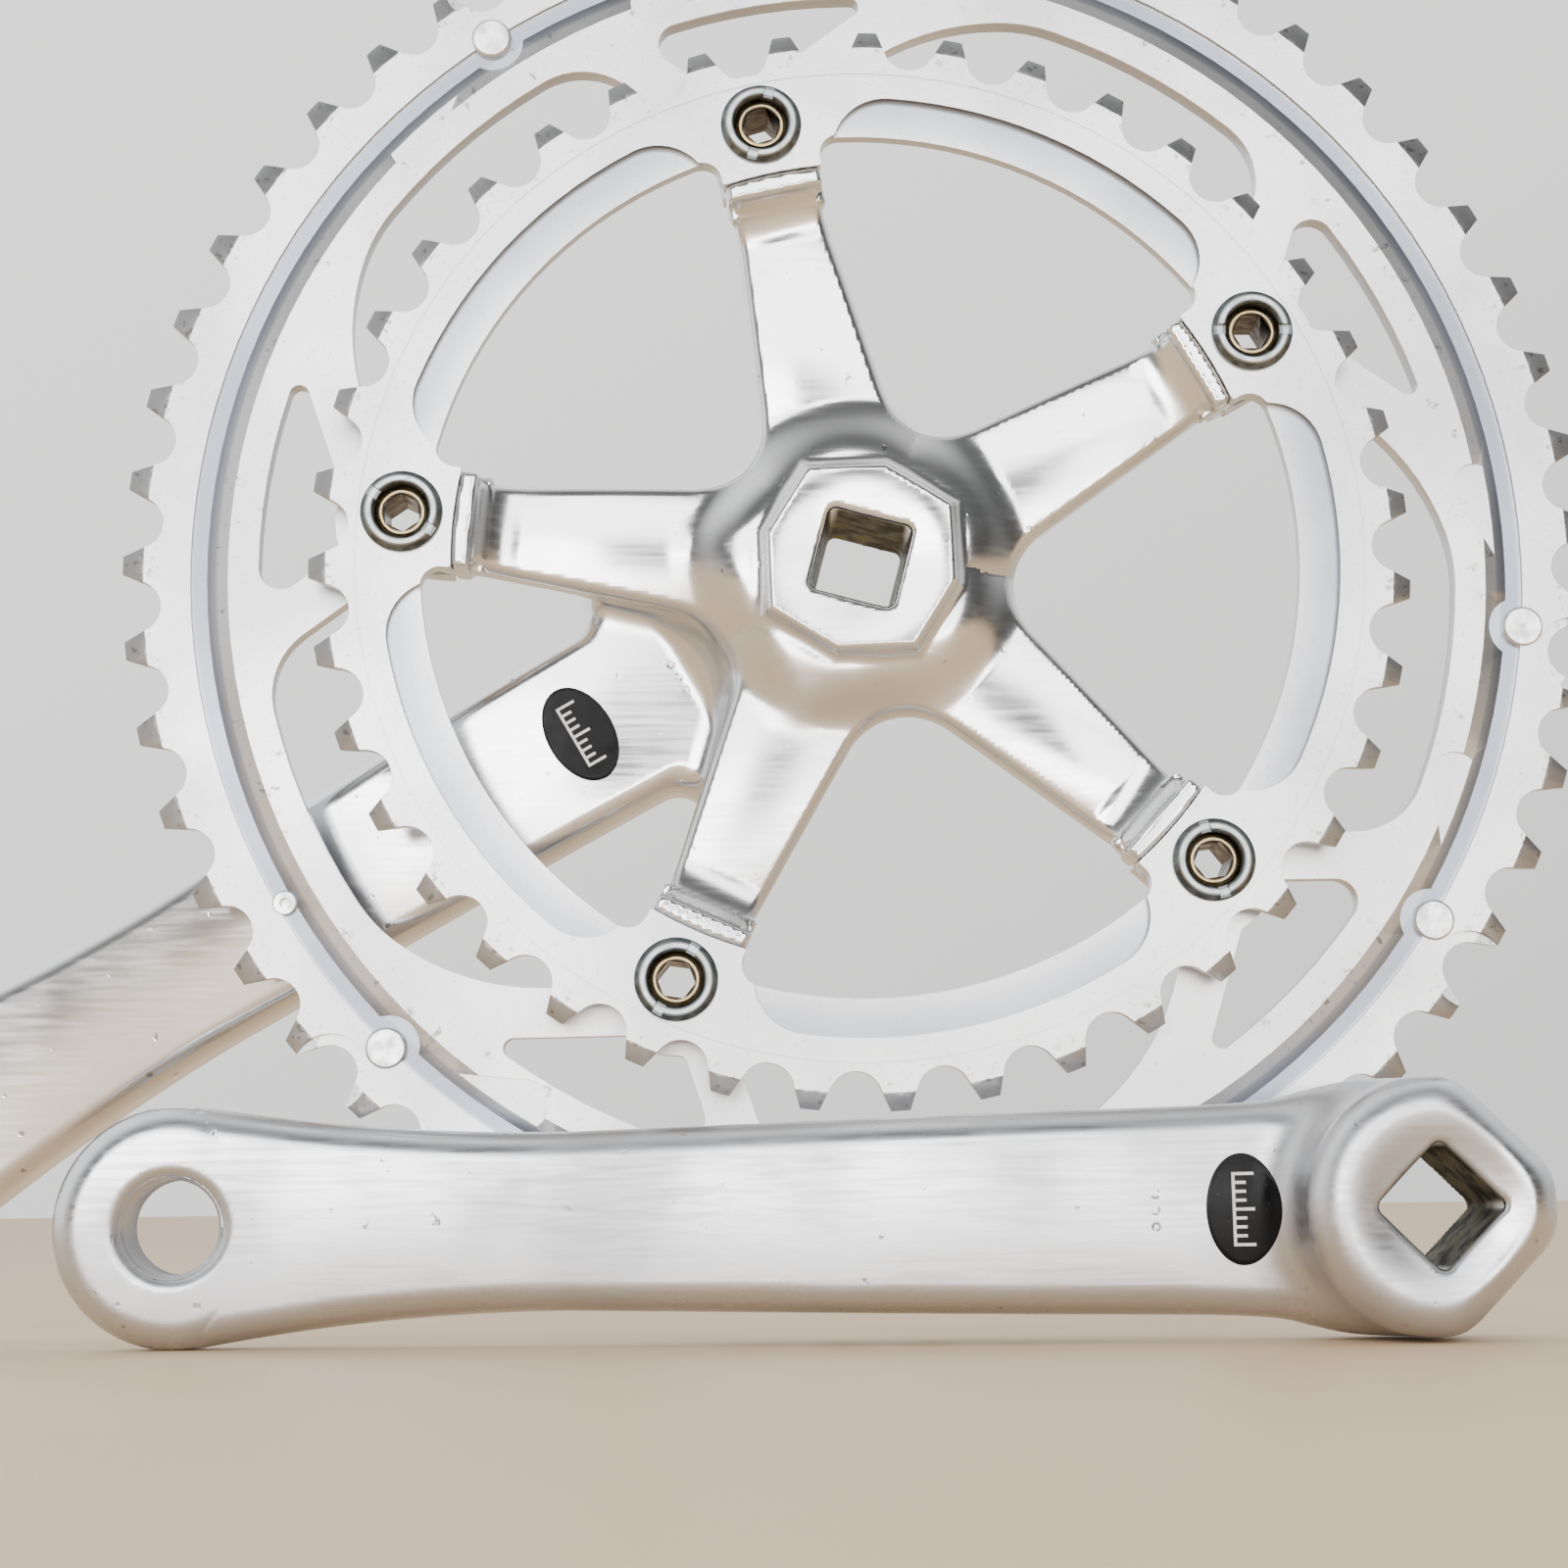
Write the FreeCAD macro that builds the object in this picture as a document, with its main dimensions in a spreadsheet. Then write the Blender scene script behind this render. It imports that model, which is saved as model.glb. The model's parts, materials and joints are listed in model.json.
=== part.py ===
import FreeCAD, Part
import math
import os
import Sketcher
from FreeCAD import Placement, Rotation, Vector

# Bicycle crankset: the right crank with its five-arm spider, two chainrings, the fasteners
# that hold them, and the left crank arm lying in front of them.
#
# Every piece is drawn as it is seen from the bicycle's side: local x to the right, local y up
# and local z along the crank axis towards the bicycle. TURN then stands the piece upright, so
# in the finished frame X is to the right, Y points away from the bicycle and Z is up. A
# "depth" below is a distance along +Y from the back face of the right crank's boss, which is
# where the origin lies, on the crank axis.

SIZES = {
    # chain and chainrings
    "pitch": 12.7, "roller_radius": 3.93, "outer_teeth": 53, "inner_teeth": 39,
    "outer_first_gap": 6.3, "inner_first_gap": 0.83, "flank_lean": 25,
    "outer_tip": 109.0, "inner_tip": 80.75, "ring_thick": 3.5, "tooth_thick": 2.2,
    "tip_flat": 0.8, "outer_bevel": 3.2, "inner_bevel": 2.6,
    "inner_depth": 0.5, "outer_depth": 7.0, "pilot_radius": 60.0,
    # the outer ring's groove, windows and reliefs
    "groove_outer": 98.9, "groove_floor": 96.6, "groove_inner": 93.4, "groove_sink": 0.9,
    "window_rim": 88.9, "drop_rim": 96.2, "drop_round": 3.6, "drop_reach": 93.2,
    "drop_long": 7.4, "drop_sink": 0.45, "spot_radius": 4.4,
    "relief_radius": 5.6, "relief_sink": 0.9,
    # the inner ring's recess and its scribed line
    "recess_rim": 70.3, "recess_sink": 1.3, "recess_end": 9.4, "recess_corner": 8.0,
    "scribe_radius": 73.8, "scribe_wide": 0.25, "scribe_sink": 0.15,
    "lug_half": 7.5, "span_radius": 64.6,
    # the outer ring's legs
    "bow_radius": 36.0, "bow_reach": 53.8, "bow_angle": 36.8, "bow_blend": 24.0,
    "leg_blend": 11.0, "tab_blend": 6.0, "tab_rim": 10.5,
    "ring_clearance": 0.05,
    # bolt circle and fasteners
    "bolts": 5, "bolt_circle": 135.0, "first_bolt": 30.0, "nut_barrel": 9.9, "hole": 10.1,
    "nut_flange": 12.0, "flange_thick": 1.5, "nut_length": 8.3, "thread": 8.0,
    "slot_wide": 1.5, "slot_sink": 0.7, "bolt_head": 12.2, "head_thick": 2.0,
    "bolt_start": 0.6, "hex_key": 5.0, "bolt_nose": 6.6, "counterbore": 12.6,
    # spider
    "tab_depth": 4.0, "tab_thick": 3.0, "shoulder_inner": 57.2, "shoulder_depth": 0.8,
    "shoulder_thick": 9.7, "spider_depth": 4.8, "spider_thick": 6.2, "crotch": 8.0,
    "arm_root_half": 9.9, "arm_tip_half": 6.7, "tip_reach": 54.0, "root_reach": 22.0,
    "web_depth": 9.5, "web_thick": 6.0, "web_reach": 40.0,
    # crank arms
    "crank_length": 172.5, "right_turn": 210.0, "arm_slope": 5.0, "arm_depth": 7.8,
    "arm_thick": 12.0, "eye_depth": 22.6, "eye_thick": 12.8, "eye_radius": 17.0,
    "boss_radius": 17.4, "waist_half": 12.3, "eye_bend": 307.0,
    "root_half": 14.3, "flank_reach": 30.0, "root_bend": 60.0, "arm_round": 3.6,
    "boss_length": 28.0, "face_corner": 15.8, "face_side": 14.5,
    "face_thick": 4.0, "socket_side": 12.6, "socket_length": 17.0, "socket_taper": 2.0,
    "socket_corner": 1.2, "dish_radius": 10.2, "dish_sink": 1.3, "extractor": 22.0,
    "extractor_length": 10.0, "pedal_thread": 14.28,
    # the left arm's place: its boss centre, its tilt and the depth of its back face
    "left_x": 74.5, "left_z": -94.8, "left_depth": -26.8, "left_turn": 180.36,
    # pins and labels
    "pin_head": 6.0, "pin_head_thick": 1.1, "pin_shank": 4.0, "pin_radius": 99.1,
    "drop_pin_head": 3.6, "drop_pin_radius": 97.8, "drop_pin_angle": 210.4,
    "drop_pin_proud": 3.0, "drop_pin_bore": 1.5,
    "label_long": 15.3, "label_wide": 10.0, "label_thick": 0.12,
    "right_label_reach": 48.1, "left_label_reach": 24.6,
}
PIN_ANGLES = (123.6, 225.5, 327.3, 354.3)
DROP_ANGLES = (7.1, 108.8, 135.5, 237.9, 248.6, 339.8)
SLOT_ANGLES = (0.0, 75.0, 146.0, 60.0, 105.0)
TURN = Rotation(Vector(1, 0, 0), 90)
ORIGIN = Vector(0, 0, 0)
BEYOND = 1.0

doc = FreeCAD.newDocument("Crankset")
sheet = doc.addObject("Spreadsheet::Sheet", "Params")
for row, (alias, value) in enumerate(SIZES.items(), start=1):
    sheet.set("A%d" % row, alias)
    sheet.set("B%d" % row, str(value))
    sheet.setAlias("B%d" % row, alias)
doc.recompute()


def size(alias):
    """The sheet's number for an alias."""
    return float(sheet.get(alias))


def at(radius, degrees):
    """The point at a radius and an angle about the local origin."""
    turn = math.radians(degrees)
    return Vector(radius * math.cos(turn), radius * math.sin(turn), 0)


def turned(point, degrees):
    """The point turned about the local origin."""
    return Rotation(Vector(0, 0, 1), degrees).multVec(point)


# ---------------------------------------------------------------- outlines

class Line:
    """A straight side of an outline, through two points."""

    def __init__(self, start, end):
        self.start = start
        self.way = (end - start).normalize()

    def foot(self, point):
        """The nearest point of the side."""
        return self.start + self.way * (point - self.start).dot(self.way)

    def edge(self, start, end):
        return Part.LineSegment(start, end)


class Round:
    """A round side of an outline, about a centre."""

    def __init__(self, centre, radius):
        self.centre = centre
        self.radius = radius

    def foot(self, point):
        """The nearest point of the side."""
        return self.centre + (point - self.centre).normalize() * self.radius

    def edge(self, start, end):
        return Part.Arc(start, self.foot((start + end) * 0.5), end)


def corner(side, following, radius, guess):
    """A tangent arc between two sides, found from a point near its centre."""
    centre = Vector(guess)
    for _ in range(40):
        near, far = centre - side.foot(centre), centre - following.foot(centre)
        gap, other_gap = radius - near.Length, radius - far.Length
        near.normalize()
        far.normalize()
        spread = near.x * far.y - near.y * far.x
        step = Vector(gap * far.y - other_gap * near.y, other_gap * near.x - gap * far.x, 0)
        centre = centre + step * (1 / spread)
    arrive, leave = side.foot(centre), following.foot(centre)
    middle = centre + ((arrive + leave) * 0.5 - centre).normalize() * radius
    return arrive, middle, leave


def outline(sides, corners):
    """A closed run of sides; corner i, (radius, guess), joins side i to the next one.

    A radius of 0 means that the two sides already meet at the guess.
    """
    arcs = []
    for i, (radius, guess) in enumerate(corners):
        following = sides[(i + 1) % len(sides)]
        tangent = (guess, guess, guess)
        arcs.append(corner(sides[i], following, radius, guess) if radius else tangent)
    edges = []
    for i, side in enumerate(sides):
        edges.append(side.edge(arcs[i - 1][2], arcs[i][0]))
        if corners[i][0]:
            edges.append(Part.Arc(*arcs[i]))
    return edges


# ---------------------------------------------------------------- features

def new_body(label):
    body = doc.addObject("PartDesign::Body", label)
    body.Label = label
    return body


def new_sketch(body, name, role="XY_Plane", depth=None):
    """An empty sketch on an origin plane, moved outboard by a depth from the sheet."""
    sketch = body.newObject("Sketcher::SketchObject", name)
    plane = [item for item in body.Origin.OriginFeatures if item.Role == role][0]
    sketch.AttachmentSupport = [(plane, "")]
    sketch.MapMode = "FlatFace"
    if depth:
        sketch.setExpression("AttachmentOffset.Base.z", "-(%s)" % depth)
    return sketch


def bound_circle(sketch, radius, expression, centre=ORIGIN):
    """A circle whose radius follows the sheet."""
    index = sketch.addGeometry(Part.Circle(centre, Vector(0, 0, 1), radius), False)
    if centre.Length == 0:
        sketch.addConstraint(Sketcher.Constraint("Coincident", index, 3, -1, 1))
    else:
        sketch.addConstraint(Sketcher.Constraint("DistanceX", -1, 1, index, 3, centre.x))
        sketch.addConstraint(Sketcher.Constraint("DistanceY", -1, 1, index, 3, centre.y))
    name = "radius_%d" % index
    number = sketch.addConstraint(Sketcher.Constraint("Radius", index, radius))
    sketch.renameConstraint(number, name)
    sketch.setExpression("Constraints." + name, expression)


def pad(body, sketch, length):
    """Material from the sketch outboard."""
    feature = body.newObject("PartDesign::Pad", sketch.Name + "_pad")
    feature.Profile = sketch
    feature.setExpression("Length", length)
    feature.Reversed = True
    body.Tip = feature
    return feature


def pocket(body, sketch, length, taper=0.0):
    """A cut from the sketch outboard."""
    feature = body.newObject("PartDesign::Pocket", sketch.Name + "_cut")
    feature.Profile = sketch
    feature.setExpression("Length", length)
    feature.TaperAngle = taper
    body.Tip = feature
    return feature


def turned_feature(body, name, points, kind="Revolution"):
    """A full turn of a section about the crank axis; points are (radius, depth)."""
    sketch = new_sketch(body, name, "XZ_Plane")
    corners = [Vector(radius, -depth, 0) for radius, depth in points]
    for start, end in zip(corners, corners[1:] + corners[:1]):
        sketch.addGeometry(Part.LineSegment(start, end), False)
    feature = body.newObject("PartDesign::" + kind, name + "_turn")
    feature.Profile = sketch
    feature.ReferenceAxis = (sketch, ["V_Axis"])
    feature.Angle = 360
    body.Tip = feature
    return feature


def around(body, features, count, name):
    """The features repeated evenly about the crank axis."""
    pattern = body.newObject("PartDesign::PolarPattern", name)
    pattern.Originals = features
    pattern.Axis = (features[0].Profile[0], ["N_Axis"])
    pattern.Angle = 360
    pattern.setExpression("Occurrences", count)
    body.Tip = pattern
    return pattern


# ---------------------------------------------------------------- chainrings

def tooth_gaps(body, teeth, first_gap, tip):
    """Cuts one tooth gap, a roller's seat with leaning flanks, and repeats it."""
    pitch_radius = size("pitch") / 2 / math.sin(math.pi / size(teeth))
    seat, lean = size("roller_radius"), size("flank_lean")
    centre = Vector(pitch_radius, 0, 0)
    upper = centre + at(seat, 90 + lean)
    reach = size(tip) + BEYOND - upper.x
    wide = upper + Vector(reach, reach * math.tan(math.radians(lean)), 0)
    lower, low_wide = Vector(upper.x, -upper.y, 0), Vector(wide.x, -wide.y, 0)
    bottom = centre - Vector(seat, 0, 0)
    points = [turned(p, size(first_gap)) for p in (upper, wide, low_wide, lower, bottom)]
    upper, wide, low_wide, lower, bottom = points
    sketch = new_sketch(body, "gap", depth="-%g" % BEYOND)
    sketch.addGeometry([Part.LineSegment(upper, wide), Part.LineSegment(wide, low_wide),
                        Part.LineSegment(low_wide, lower), Part.Arc(lower, bottom, upper)], False)
    cut = pocket(body, sketch, "Params.ring_thick + %g" % (2 * BEYOND))
    around(body, [cut], "Params." + teeth, "gaps")


def ring_section(tip, bevel, step, inner):
    """A ring's cross-section: full body inside, thin bevelled teeth outside."""
    thick, tooth, flat = size("ring_thick"), size("tooth_thick"), size("tip_flat")
    shoulder = size(tip) - size(bevel)
    slope = (tooth - flat) / 2
    return [(inner, 0), (shoulder, 0), (size(tip), slope), (size(tip), slope + flat),
            (shoulder, tooth), (step, tooth), (step - (thick - tooth), thick), (inner, thick)]


def bolt_holes(body, diameter, depth, length, name):
    """A hole on every bolt's axis."""
    sketch = new_sketch(body, name, depth=depth)
    centre = at(size("bolt_circle") / 2, size("first_bolt"))
    bound_circle(sketch, size(diameter) / 2, "Params.%s / 2" % diameter, centre)
    cut = pocket(body, sketch, length)
    around(body, [cut], "Params.bolts", name + "_all")


def pilot_sides(bolt, half):
    """The two sides of a lug, parallel to its bolt's radius."""
    reach = size("bolt_circle") / 2
    low = Line(turned(Vector(0, -half, 0), bolt), turned(Vector(reach, -half, 0), bolt))
    high = Line(turned(Vector(0, half, 0), bolt), turned(Vector(reach, half, 0), bolt))
    return low, high


def inner_bore():
    """The inner ring's opening: shallow spans with a square-ended lug at each bolt."""
    step, half = 360 / size("bolts"), size("lug_half")
    pilot, span = size("pilot_radius"), size("span_radius")
    sides, corners = [], []
    for i in range(int(size("bolts"))):
        bolt = size("first_bolt") + i * step
        low, high = pilot_sides(bolt, half)
        sides += [low, Round(ORIGIN, pilot), high, Round(ORIGIN, span)]
        corners += [(0.4, turned(Vector(pilot + 0.5, -half + 0.5, 0), bolt)),
                    (0.4, turned(Vector(pilot + 0.5, half - 0.5, 0), bolt)),
                    (3.0, turned(Vector(span - 4.3, half + 3.0, 0), bolt)),
                    (3.0, turned(Vector(span - 4.3, -half - 3.0, 0), bolt + step))]
    return outline(sides, corners)


def inner_recess(body):
    """The thinned band between bolts, with a sloping wall."""
    rim, end, bend = size("recess_rim"), size("recess_end"), size("recess_corner")
    step, bolt, inside = 360 / size("bolts"), size("first_bolt"), size("pilot_radius") - 6
    high, low = pilot_sides(bolt, end)[1], pilot_sides(bolt + step, end)[0]
    sides = [high, Round(ORIGIN, rim), low, Round(ORIGIN, inside)]
    corners = [(bend, turned(Vector(rim - bend - 1, end + bend, 0), bolt)),
               (bend, turned(Vector(rim - bend - 1, -end - bend, 0), bolt + step)),
               (1.0, turned(Vector(inside + 1, -end - 1, 0), bolt + step)),
               (1.0, turned(Vector(inside + 1, end + 1, 0), bolt))]
    sketch = new_sketch(body, "recess")
    sketch.addGeometry(outline(sides, corners), False)
    cut = pocket(body, sketch, "Params.recess_sink", 30)
    around(body, [cut], "Params.bolts", "recesses")


def inner_chainring():
    body = new_body("inner_chainring")
    section = ring_section("inner_tip", "inner_bevel", 74.6, size("pilot_radius") - 4)
    turned_feature(body, "blank", section)
    scribe, wide = size("scribe_radius"), size("scribe_wide")
    turned_feature(body, "scribe", [(scribe, -BEYOND), (scribe + wide, -BEYOND),
                                    (scribe + wide, size("scribe_sink")),
                                    (scribe, size("scribe_sink"))], "Groove")
    inner_recess(body)
    sketch = new_sketch(body, "bore", depth="-%g" % BEYOND)
    sketch.addGeometry(inner_bore(), False)
    pocket(body, sketch, "Params.ring_thick + %g" % (2 * BEYOND))
    bolt_holes(body, "hole", "-%g" % BEYOND, "Params.ring_thick + %g" % (2 * BEYOND), "holes")
    tooth_gaps(body, "inner_teeth", "inner_first_gap", "inner_tip")
    body.Placement = Placement(Vector(0, size("inner_depth"), 0), TURN)


def leg_line(bolt, start, end):
    """A leg's straight side, from points (along the bolt's radius, across it)."""
    return Line(turned(Vector(*start, 0), bolt), turned(Vector(*end, 0), bolt))


def outer_bore():
    """The outer ring's open middle: a tab at each bolt, on two legs that reach the band."""
    step, half, rim = 360 / size("bolts"), size("lug_half"), size("window_rim")
    pilot, bow, blend = size("pilot_radius"), size("bow_radius"), size("leg_blend")
    bow_blend, tab_blend = size("bow_blend"), size("tab_blend")
    sides, corners = [], []
    for i in range(int(size("bolts"))):
        bolt = size("first_bolt") + i * step
        after = bolt + step
        bow_centre = at(size("bow_reach"), after - size("bow_angle"))
        sides += [Round(ORIGIN, pilot), pilot_sides(bolt, half)[1],
                  leg_line(bolt, (70.0, 8.6), (78.5, 16.3)), Round(ORIGIN, rim),
                  Round(bow_centre, bow), pilot_sides(after, half)[0]]
        corners += [(0.4, turned(Vector(pilot + 0.5, half - 0.5, 0), bolt)),
                    (tab_blend, turned(Vector(pilot + 6, half + tab_blend, 0), bolt)),
                    (blend, at(rim - blend, bolt + 20)),
                    (bow_blend, at(rim - bow_blend, after - 32)),
                    (tab_blend, turned(Vector(pilot + 6, -half - tab_blend, 0), after)),
                    (0.4, turned(Vector(pilot + 0.5, -half + 0.5, 0), after))]
    return outline(sides, corners)


def outer_window(bolt):
    """The three-sided window over a tab."""
    rim, tab = size("window_rim"), size("tab_rim")
    sides = [leg_line(bolt, (83.8, -17.6), (78.0, -5.0)),
             Round(turned(Vector(size("bolt_circle") / 2, 0, 0), bolt), tab),
             leg_line(bolt, (77.5, 6.1), (82.0, 10.2)), Round(ORIGIN, rim)]
    corners = [(1.5, turned(Vector(79.0, -3.4, 0), bolt)),
               (1.5, turned(Vector(78.6, 4.8, 0), bolt)),
               (3.3, turned(Vector(85.0, 7.8, 0), bolt)),
               (1.5, turned(Vector(85.5, -18.4, 0), bolt))]
    return outline(sides, corners)


def drop_recess(angle):
    """A shallow half-drop: open at the groove, pointed at one end, round at the other."""
    rim, end = size("drop_rim"), size("drop_round")
    centre = at(size("drop_reach"), angle)
    tip = at(rim, angle - size("drop_long"))
    away = tip - centre
    lean = math.degrees(math.acos(end / away.Length))
    touch = centre + turned(away.normalize() * end, -lean)
    sides = [Round(ORIGIN, rim), Round(centre, end), Line(touch, tip)]
    corners = [(0.3, at(rim - 0.4, angle + 1.2)), (0, touch), (0, tip)]
    return outline(sides, corners)


def pin_spot(angle):
    """The spot-faced seat beside a shift pin, as far as the groove's edge."""
    edge, spot = size("groove_outer"), size("spot_radius")
    centre = at(size("pin_radius") - 0.6, angle)
    spread = math.degrees(spot / edge)
    sides = [Round(ORIGIN, edge), Round(centre, spot)]
    corners = [(0.3, at(edge - 0.4, angle + spread - 0.3)),
               (0.3, at(edge - 0.4, angle - spread + 0.3))]
    edges = outline(sides, corners)
    inward = at(size("pin_radius") - 0.6 - spot, angle)
    edges[2] = Part.Arc(edges[2].StartPoint, inward, edges[2].EndPoint)
    return edges


def outer_chainring():
    body = new_body("outer_chainring")
    section = ring_section("outer_tip", "outer_bevel", 101.6, size("pilot_radius") - 4)
    turned_feature(body, "blank", section)
    top = size("groove_outer")
    turned_feature(body, "groove", [(size("groove_inner"), 0), (size("groove_inner"), -BEYOND),
                                    (top, -BEYOND), (top, size("groove_sink")),
                                    (size("groove_floor"), size("groove_sink"))], "Groove")
    reliefs, spots = new_sketch(body, "relief"), new_sketch(body, "spot")
    pitch_radius = size("pitch") / 2 / math.sin(math.pi / size("outer_teeth"))
    for angle in PIN_ANGLES:
        bound_circle(reliefs, size("relief_radius"), "Params.relief_radius",
                     at(pitch_radius, angle - 1.8))
        spots.addGeometry(pin_spot(angle), False)
    pocket(body, reliefs, "Params.relief_sink")
    pocket(body, spots, "Params.groove_sink")
    drops = new_sketch(body, "drop")
    for angle in DROP_ANGLES:
        drops.addGeometry(drop_recess(angle), False)
    pocket(body, drops, "Params.drop_sink")
    through = "Params.ring_thick + %g" % (2 * BEYOND)
    sketch = new_sketch(body, "bore", depth="-%g" % BEYOND)
    sketch.addGeometry(outer_bore(), False)
    pocket(body, sketch, through)
    sketch = new_sketch(body, "window", depth="-%g" % BEYOND)
    sketch.addGeometry(outer_window(size("first_bolt")), False)
    around(body, [pocket(body, sketch, through)], "Params.bolts", "windows")
    bolt_holes(body, "hole", "-%g" % BEYOND, through, "holes")
    bolt_holes(body, "counterbore", "Params.ring_thick - Params.head_thick",
               "Params.head_thick + %g" % BEYOND, "head_seats")
    tooth_gaps(body, "outer_teeth", "outer_first_gap", "outer_tip")
    pin_holes(body)
    body.Placement = Placement(Vector(0, size("outer_depth"), 0), TURN)


def pin_holes(body):
    """Holes for the shift pins and the chain-drop pin."""
    sketch = new_sketch(body, "pin_holes", depth="-%g" % BEYOND)
    for angle in PIN_ANGLES:
        bound_circle(sketch, size("pin_shank") / 2, "Params.pin_shank / 2",
                     at(size("pin_radius"), angle))
    bound_circle(sketch, size("drop_pin_head") / 2, "Params.drop_pin_head / 2",
                 at(size("drop_pin_radius"), size("drop_pin_angle")))
    pocket(body, sketch, "Params.ring_thick + %g" % (2 * BEYOND))
    sketch = new_sketch(body, "pin_seats", depth="-%g" % BEYOND)
    for angle in PIN_ANGLES:
        bound_circle(sketch, size("pin_head") / 2, "Params.pin_head / 2",
                     at(size("pin_radius"), angle))
    pocket(body, sketch, "Params.pin_head_thick + %g" % BEYOND)


# ---------------------------------------------------------------- crank arms

def arm_outline():
    """The arm in its own sloping plane: two round ends joined by hollow flanks."""
    waist, bend, root_bend = size("waist_half"), size("eye_bend"), size("root_bend")
    eye, boss = size("eye_radius"), size("boss_radius")
    flare = 1 / math.cos(math.radians(size("arm_slope")))
    eye_centre = Vector(size("crank_length") * flare, 0, 0)
    waist_x = eye_centre.x - math.sqrt((bend + eye) ** 2 - (bend + waist) ** 2)
    edges, ends = [], {}
    for side in (1, -1):
        narrow = Vector(waist_x, side * waist, 0)
        flank = Line(Vector(size("flank_reach"), side * size("root_half"), 0), narrow)
        guess = Vector(19, side * (root_bend + boss - 2), 0)
        boss_end, middle, flank_end = corner(Round(ORIGIN, boss), flank, root_bend, guess)
        beyond = Round(Vector(waist_x, side * (bend + waist), 0), bend)
        eye_end = Round(eye_centre, eye).foot(beyond.centre)
        edges += [Part.Arc(boss_end, middle, flank_end), flank.edge(flank_end, narrow),
                  beyond.edge(narrow, eye_end)]
        ends[side] = boss_end, eye_end
    edges.append(Part.Arc(ends[1][0], Vector(-boss, 0, 0), ends[-1][0]))
    edges.append(Part.Arc(ends[1][1], eye_centre + Vector(eye, 0, 0), ends[-1][1]))
    return edges


def rounded_arm(body):
    """The arm, sloping outboard towards the pedal, with rounded edges and a level eye."""
    sketch = new_sketch(body, "arm")
    slope = Rotation(Vector(0, 1, 0), size("arm_slope"))
    sketch.AttachmentOffset = Placement(Vector(0, 0, -size("arm_depth")), slope)
    sketch.setExpression("AttachmentOffset.Base.z", "-Params.arm_depth")
    sketch.addGeometry(arm_outline(), False)
    blank = pad(body, sketch, "Params.arm_thick")
    round_ends(body, blank, slope.multVec(Vector(0, 0, 1)), "arm_edges")
    eye = size("eye_radius")
    circle = new_sketch(body, "eye", depth="Params.eye_depth")
    bound_circle(circle, eye, "Params.eye_radius", Vector(size("crank_length"), 0, 0))
    pad(body, circle, "Params.eye_thick")


def round_ends(body, blank, normal, name):
    """Rounds the edges that bound a pad's two end faces."""
    doc.recompute()
    flat = []
    for i, edge in enumerate(blank.Shape.Edges):
        if abs(edge.tangentAt(edge.FirstParameter).dot(normal)) < 0.01:
            flat.append("Edge%d" % (i + 1))
    fillet = body.newObject("PartDesign::Fillet", name)
    fillet.Base = (blank, flat)
    fillet.setExpression("Radius", "Params.arm_round")
    body.Tip = fillet


def boss_face(body):
    """The raised eight-sided face round the socket, its sharp corners on the arm's line."""
    sharp, soft = size("face_corner"), size("face_side")
    corners = [at(sharp if i % 2 == 0 else soft, 45 * i) for i in range(8)]
    sketch = new_sketch(body, "face")
    for start, end in zip(corners, corners[1:] + corners[:1]):
        sketch.addGeometry(Part.LineSegment(start, end), False)
    pad(body, sketch, "Params.face_thick")


def socket(body):
    """The tapered square, its dished mouth, and the extractor thread behind it."""
    half = size("socket_side") / 2
    soft = size("socket_corner")
    reach = half * math.sqrt(2)
    sides, corners = [], []
    for i in range(4):
        sides.append(Line(at(reach, 90 * i), at(reach, 90 * (i + 1))))
        corners.append((soft, at(reach - soft * math.sqrt(2), 90 * (i + 1))))
    sketch = new_sketch(body, "square")
    sketch.addGeometry(outline(sides, corners), False)
    pocket(body, sketch, "Params.socket_length + 2", -size("socket_taper"))
    dish, sink = size("dish_radius"), size("dish_sink")
    turned_feature(body, "dish", [(0, -BEYOND), (dish + 1.2, -BEYOND), (dish, 0),
                                  (dish - 3.2, sink), (0, sink)], "Groove")
    sketch = new_sketch(body, "extractor", depth="Params.boss_length - Params.extractor_length")
    bound_circle(sketch, size("extractor") / 2, "Params.extractor / 2")
    pocket(body, sketch, "Params.extractor_length + %g" % BEYOND)


def pedal_hole(body):
    """The pedal's threaded hole through the eye."""
    sketch = new_sketch(body, "pedal", depth="Params.eye_depth - 3")
    bound_circle(sketch, size("pedal_thread") / 2, "Params.pedal_thread / 2",
                 Vector(size("crank_length"), 0, 0))
    pocket(body, sketch, "Params.eye_thick + 6")


def spider_outline():
    """Five tapering arms with round crotches, the first one opposite the crank arm."""
    step, crotch = 360 / size("bolts"), size("crotch")
    root, tip = size("root_reach"), size("tip_reach")
    wide, narrow = size("arm_root_half"), size("arm_tip_half")
    end = size("shoulder_inner") + 1
    sides, corners = [], []
    for i in range(int(size("bolts"))):
        arm = 180 + i * step
        sides += [Line(turned(Vector(root, -wide, 0), arm), turned(Vector(tip, -narrow, 0), arm)),
                  Line(turned(Vector(end, -1, 0), arm), turned(Vector(end, 1, 0), arm)),
                  Line(turned(Vector(root, wide, 0), arm), turned(Vector(tip, narrow, 0), arm))]
        corners += [(0.5, turned(Vector(end - 0.5, -narrow + 0.5, 0), arm)),
                    (0.5, turned(Vector(end - 0.5, narrow - 0.5, 0), arm)),
                    (crotch, at(size("arm_root_half") * 2 + crotch + 2, arm + step / 2))]
    return outline(sides, corners)


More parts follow.
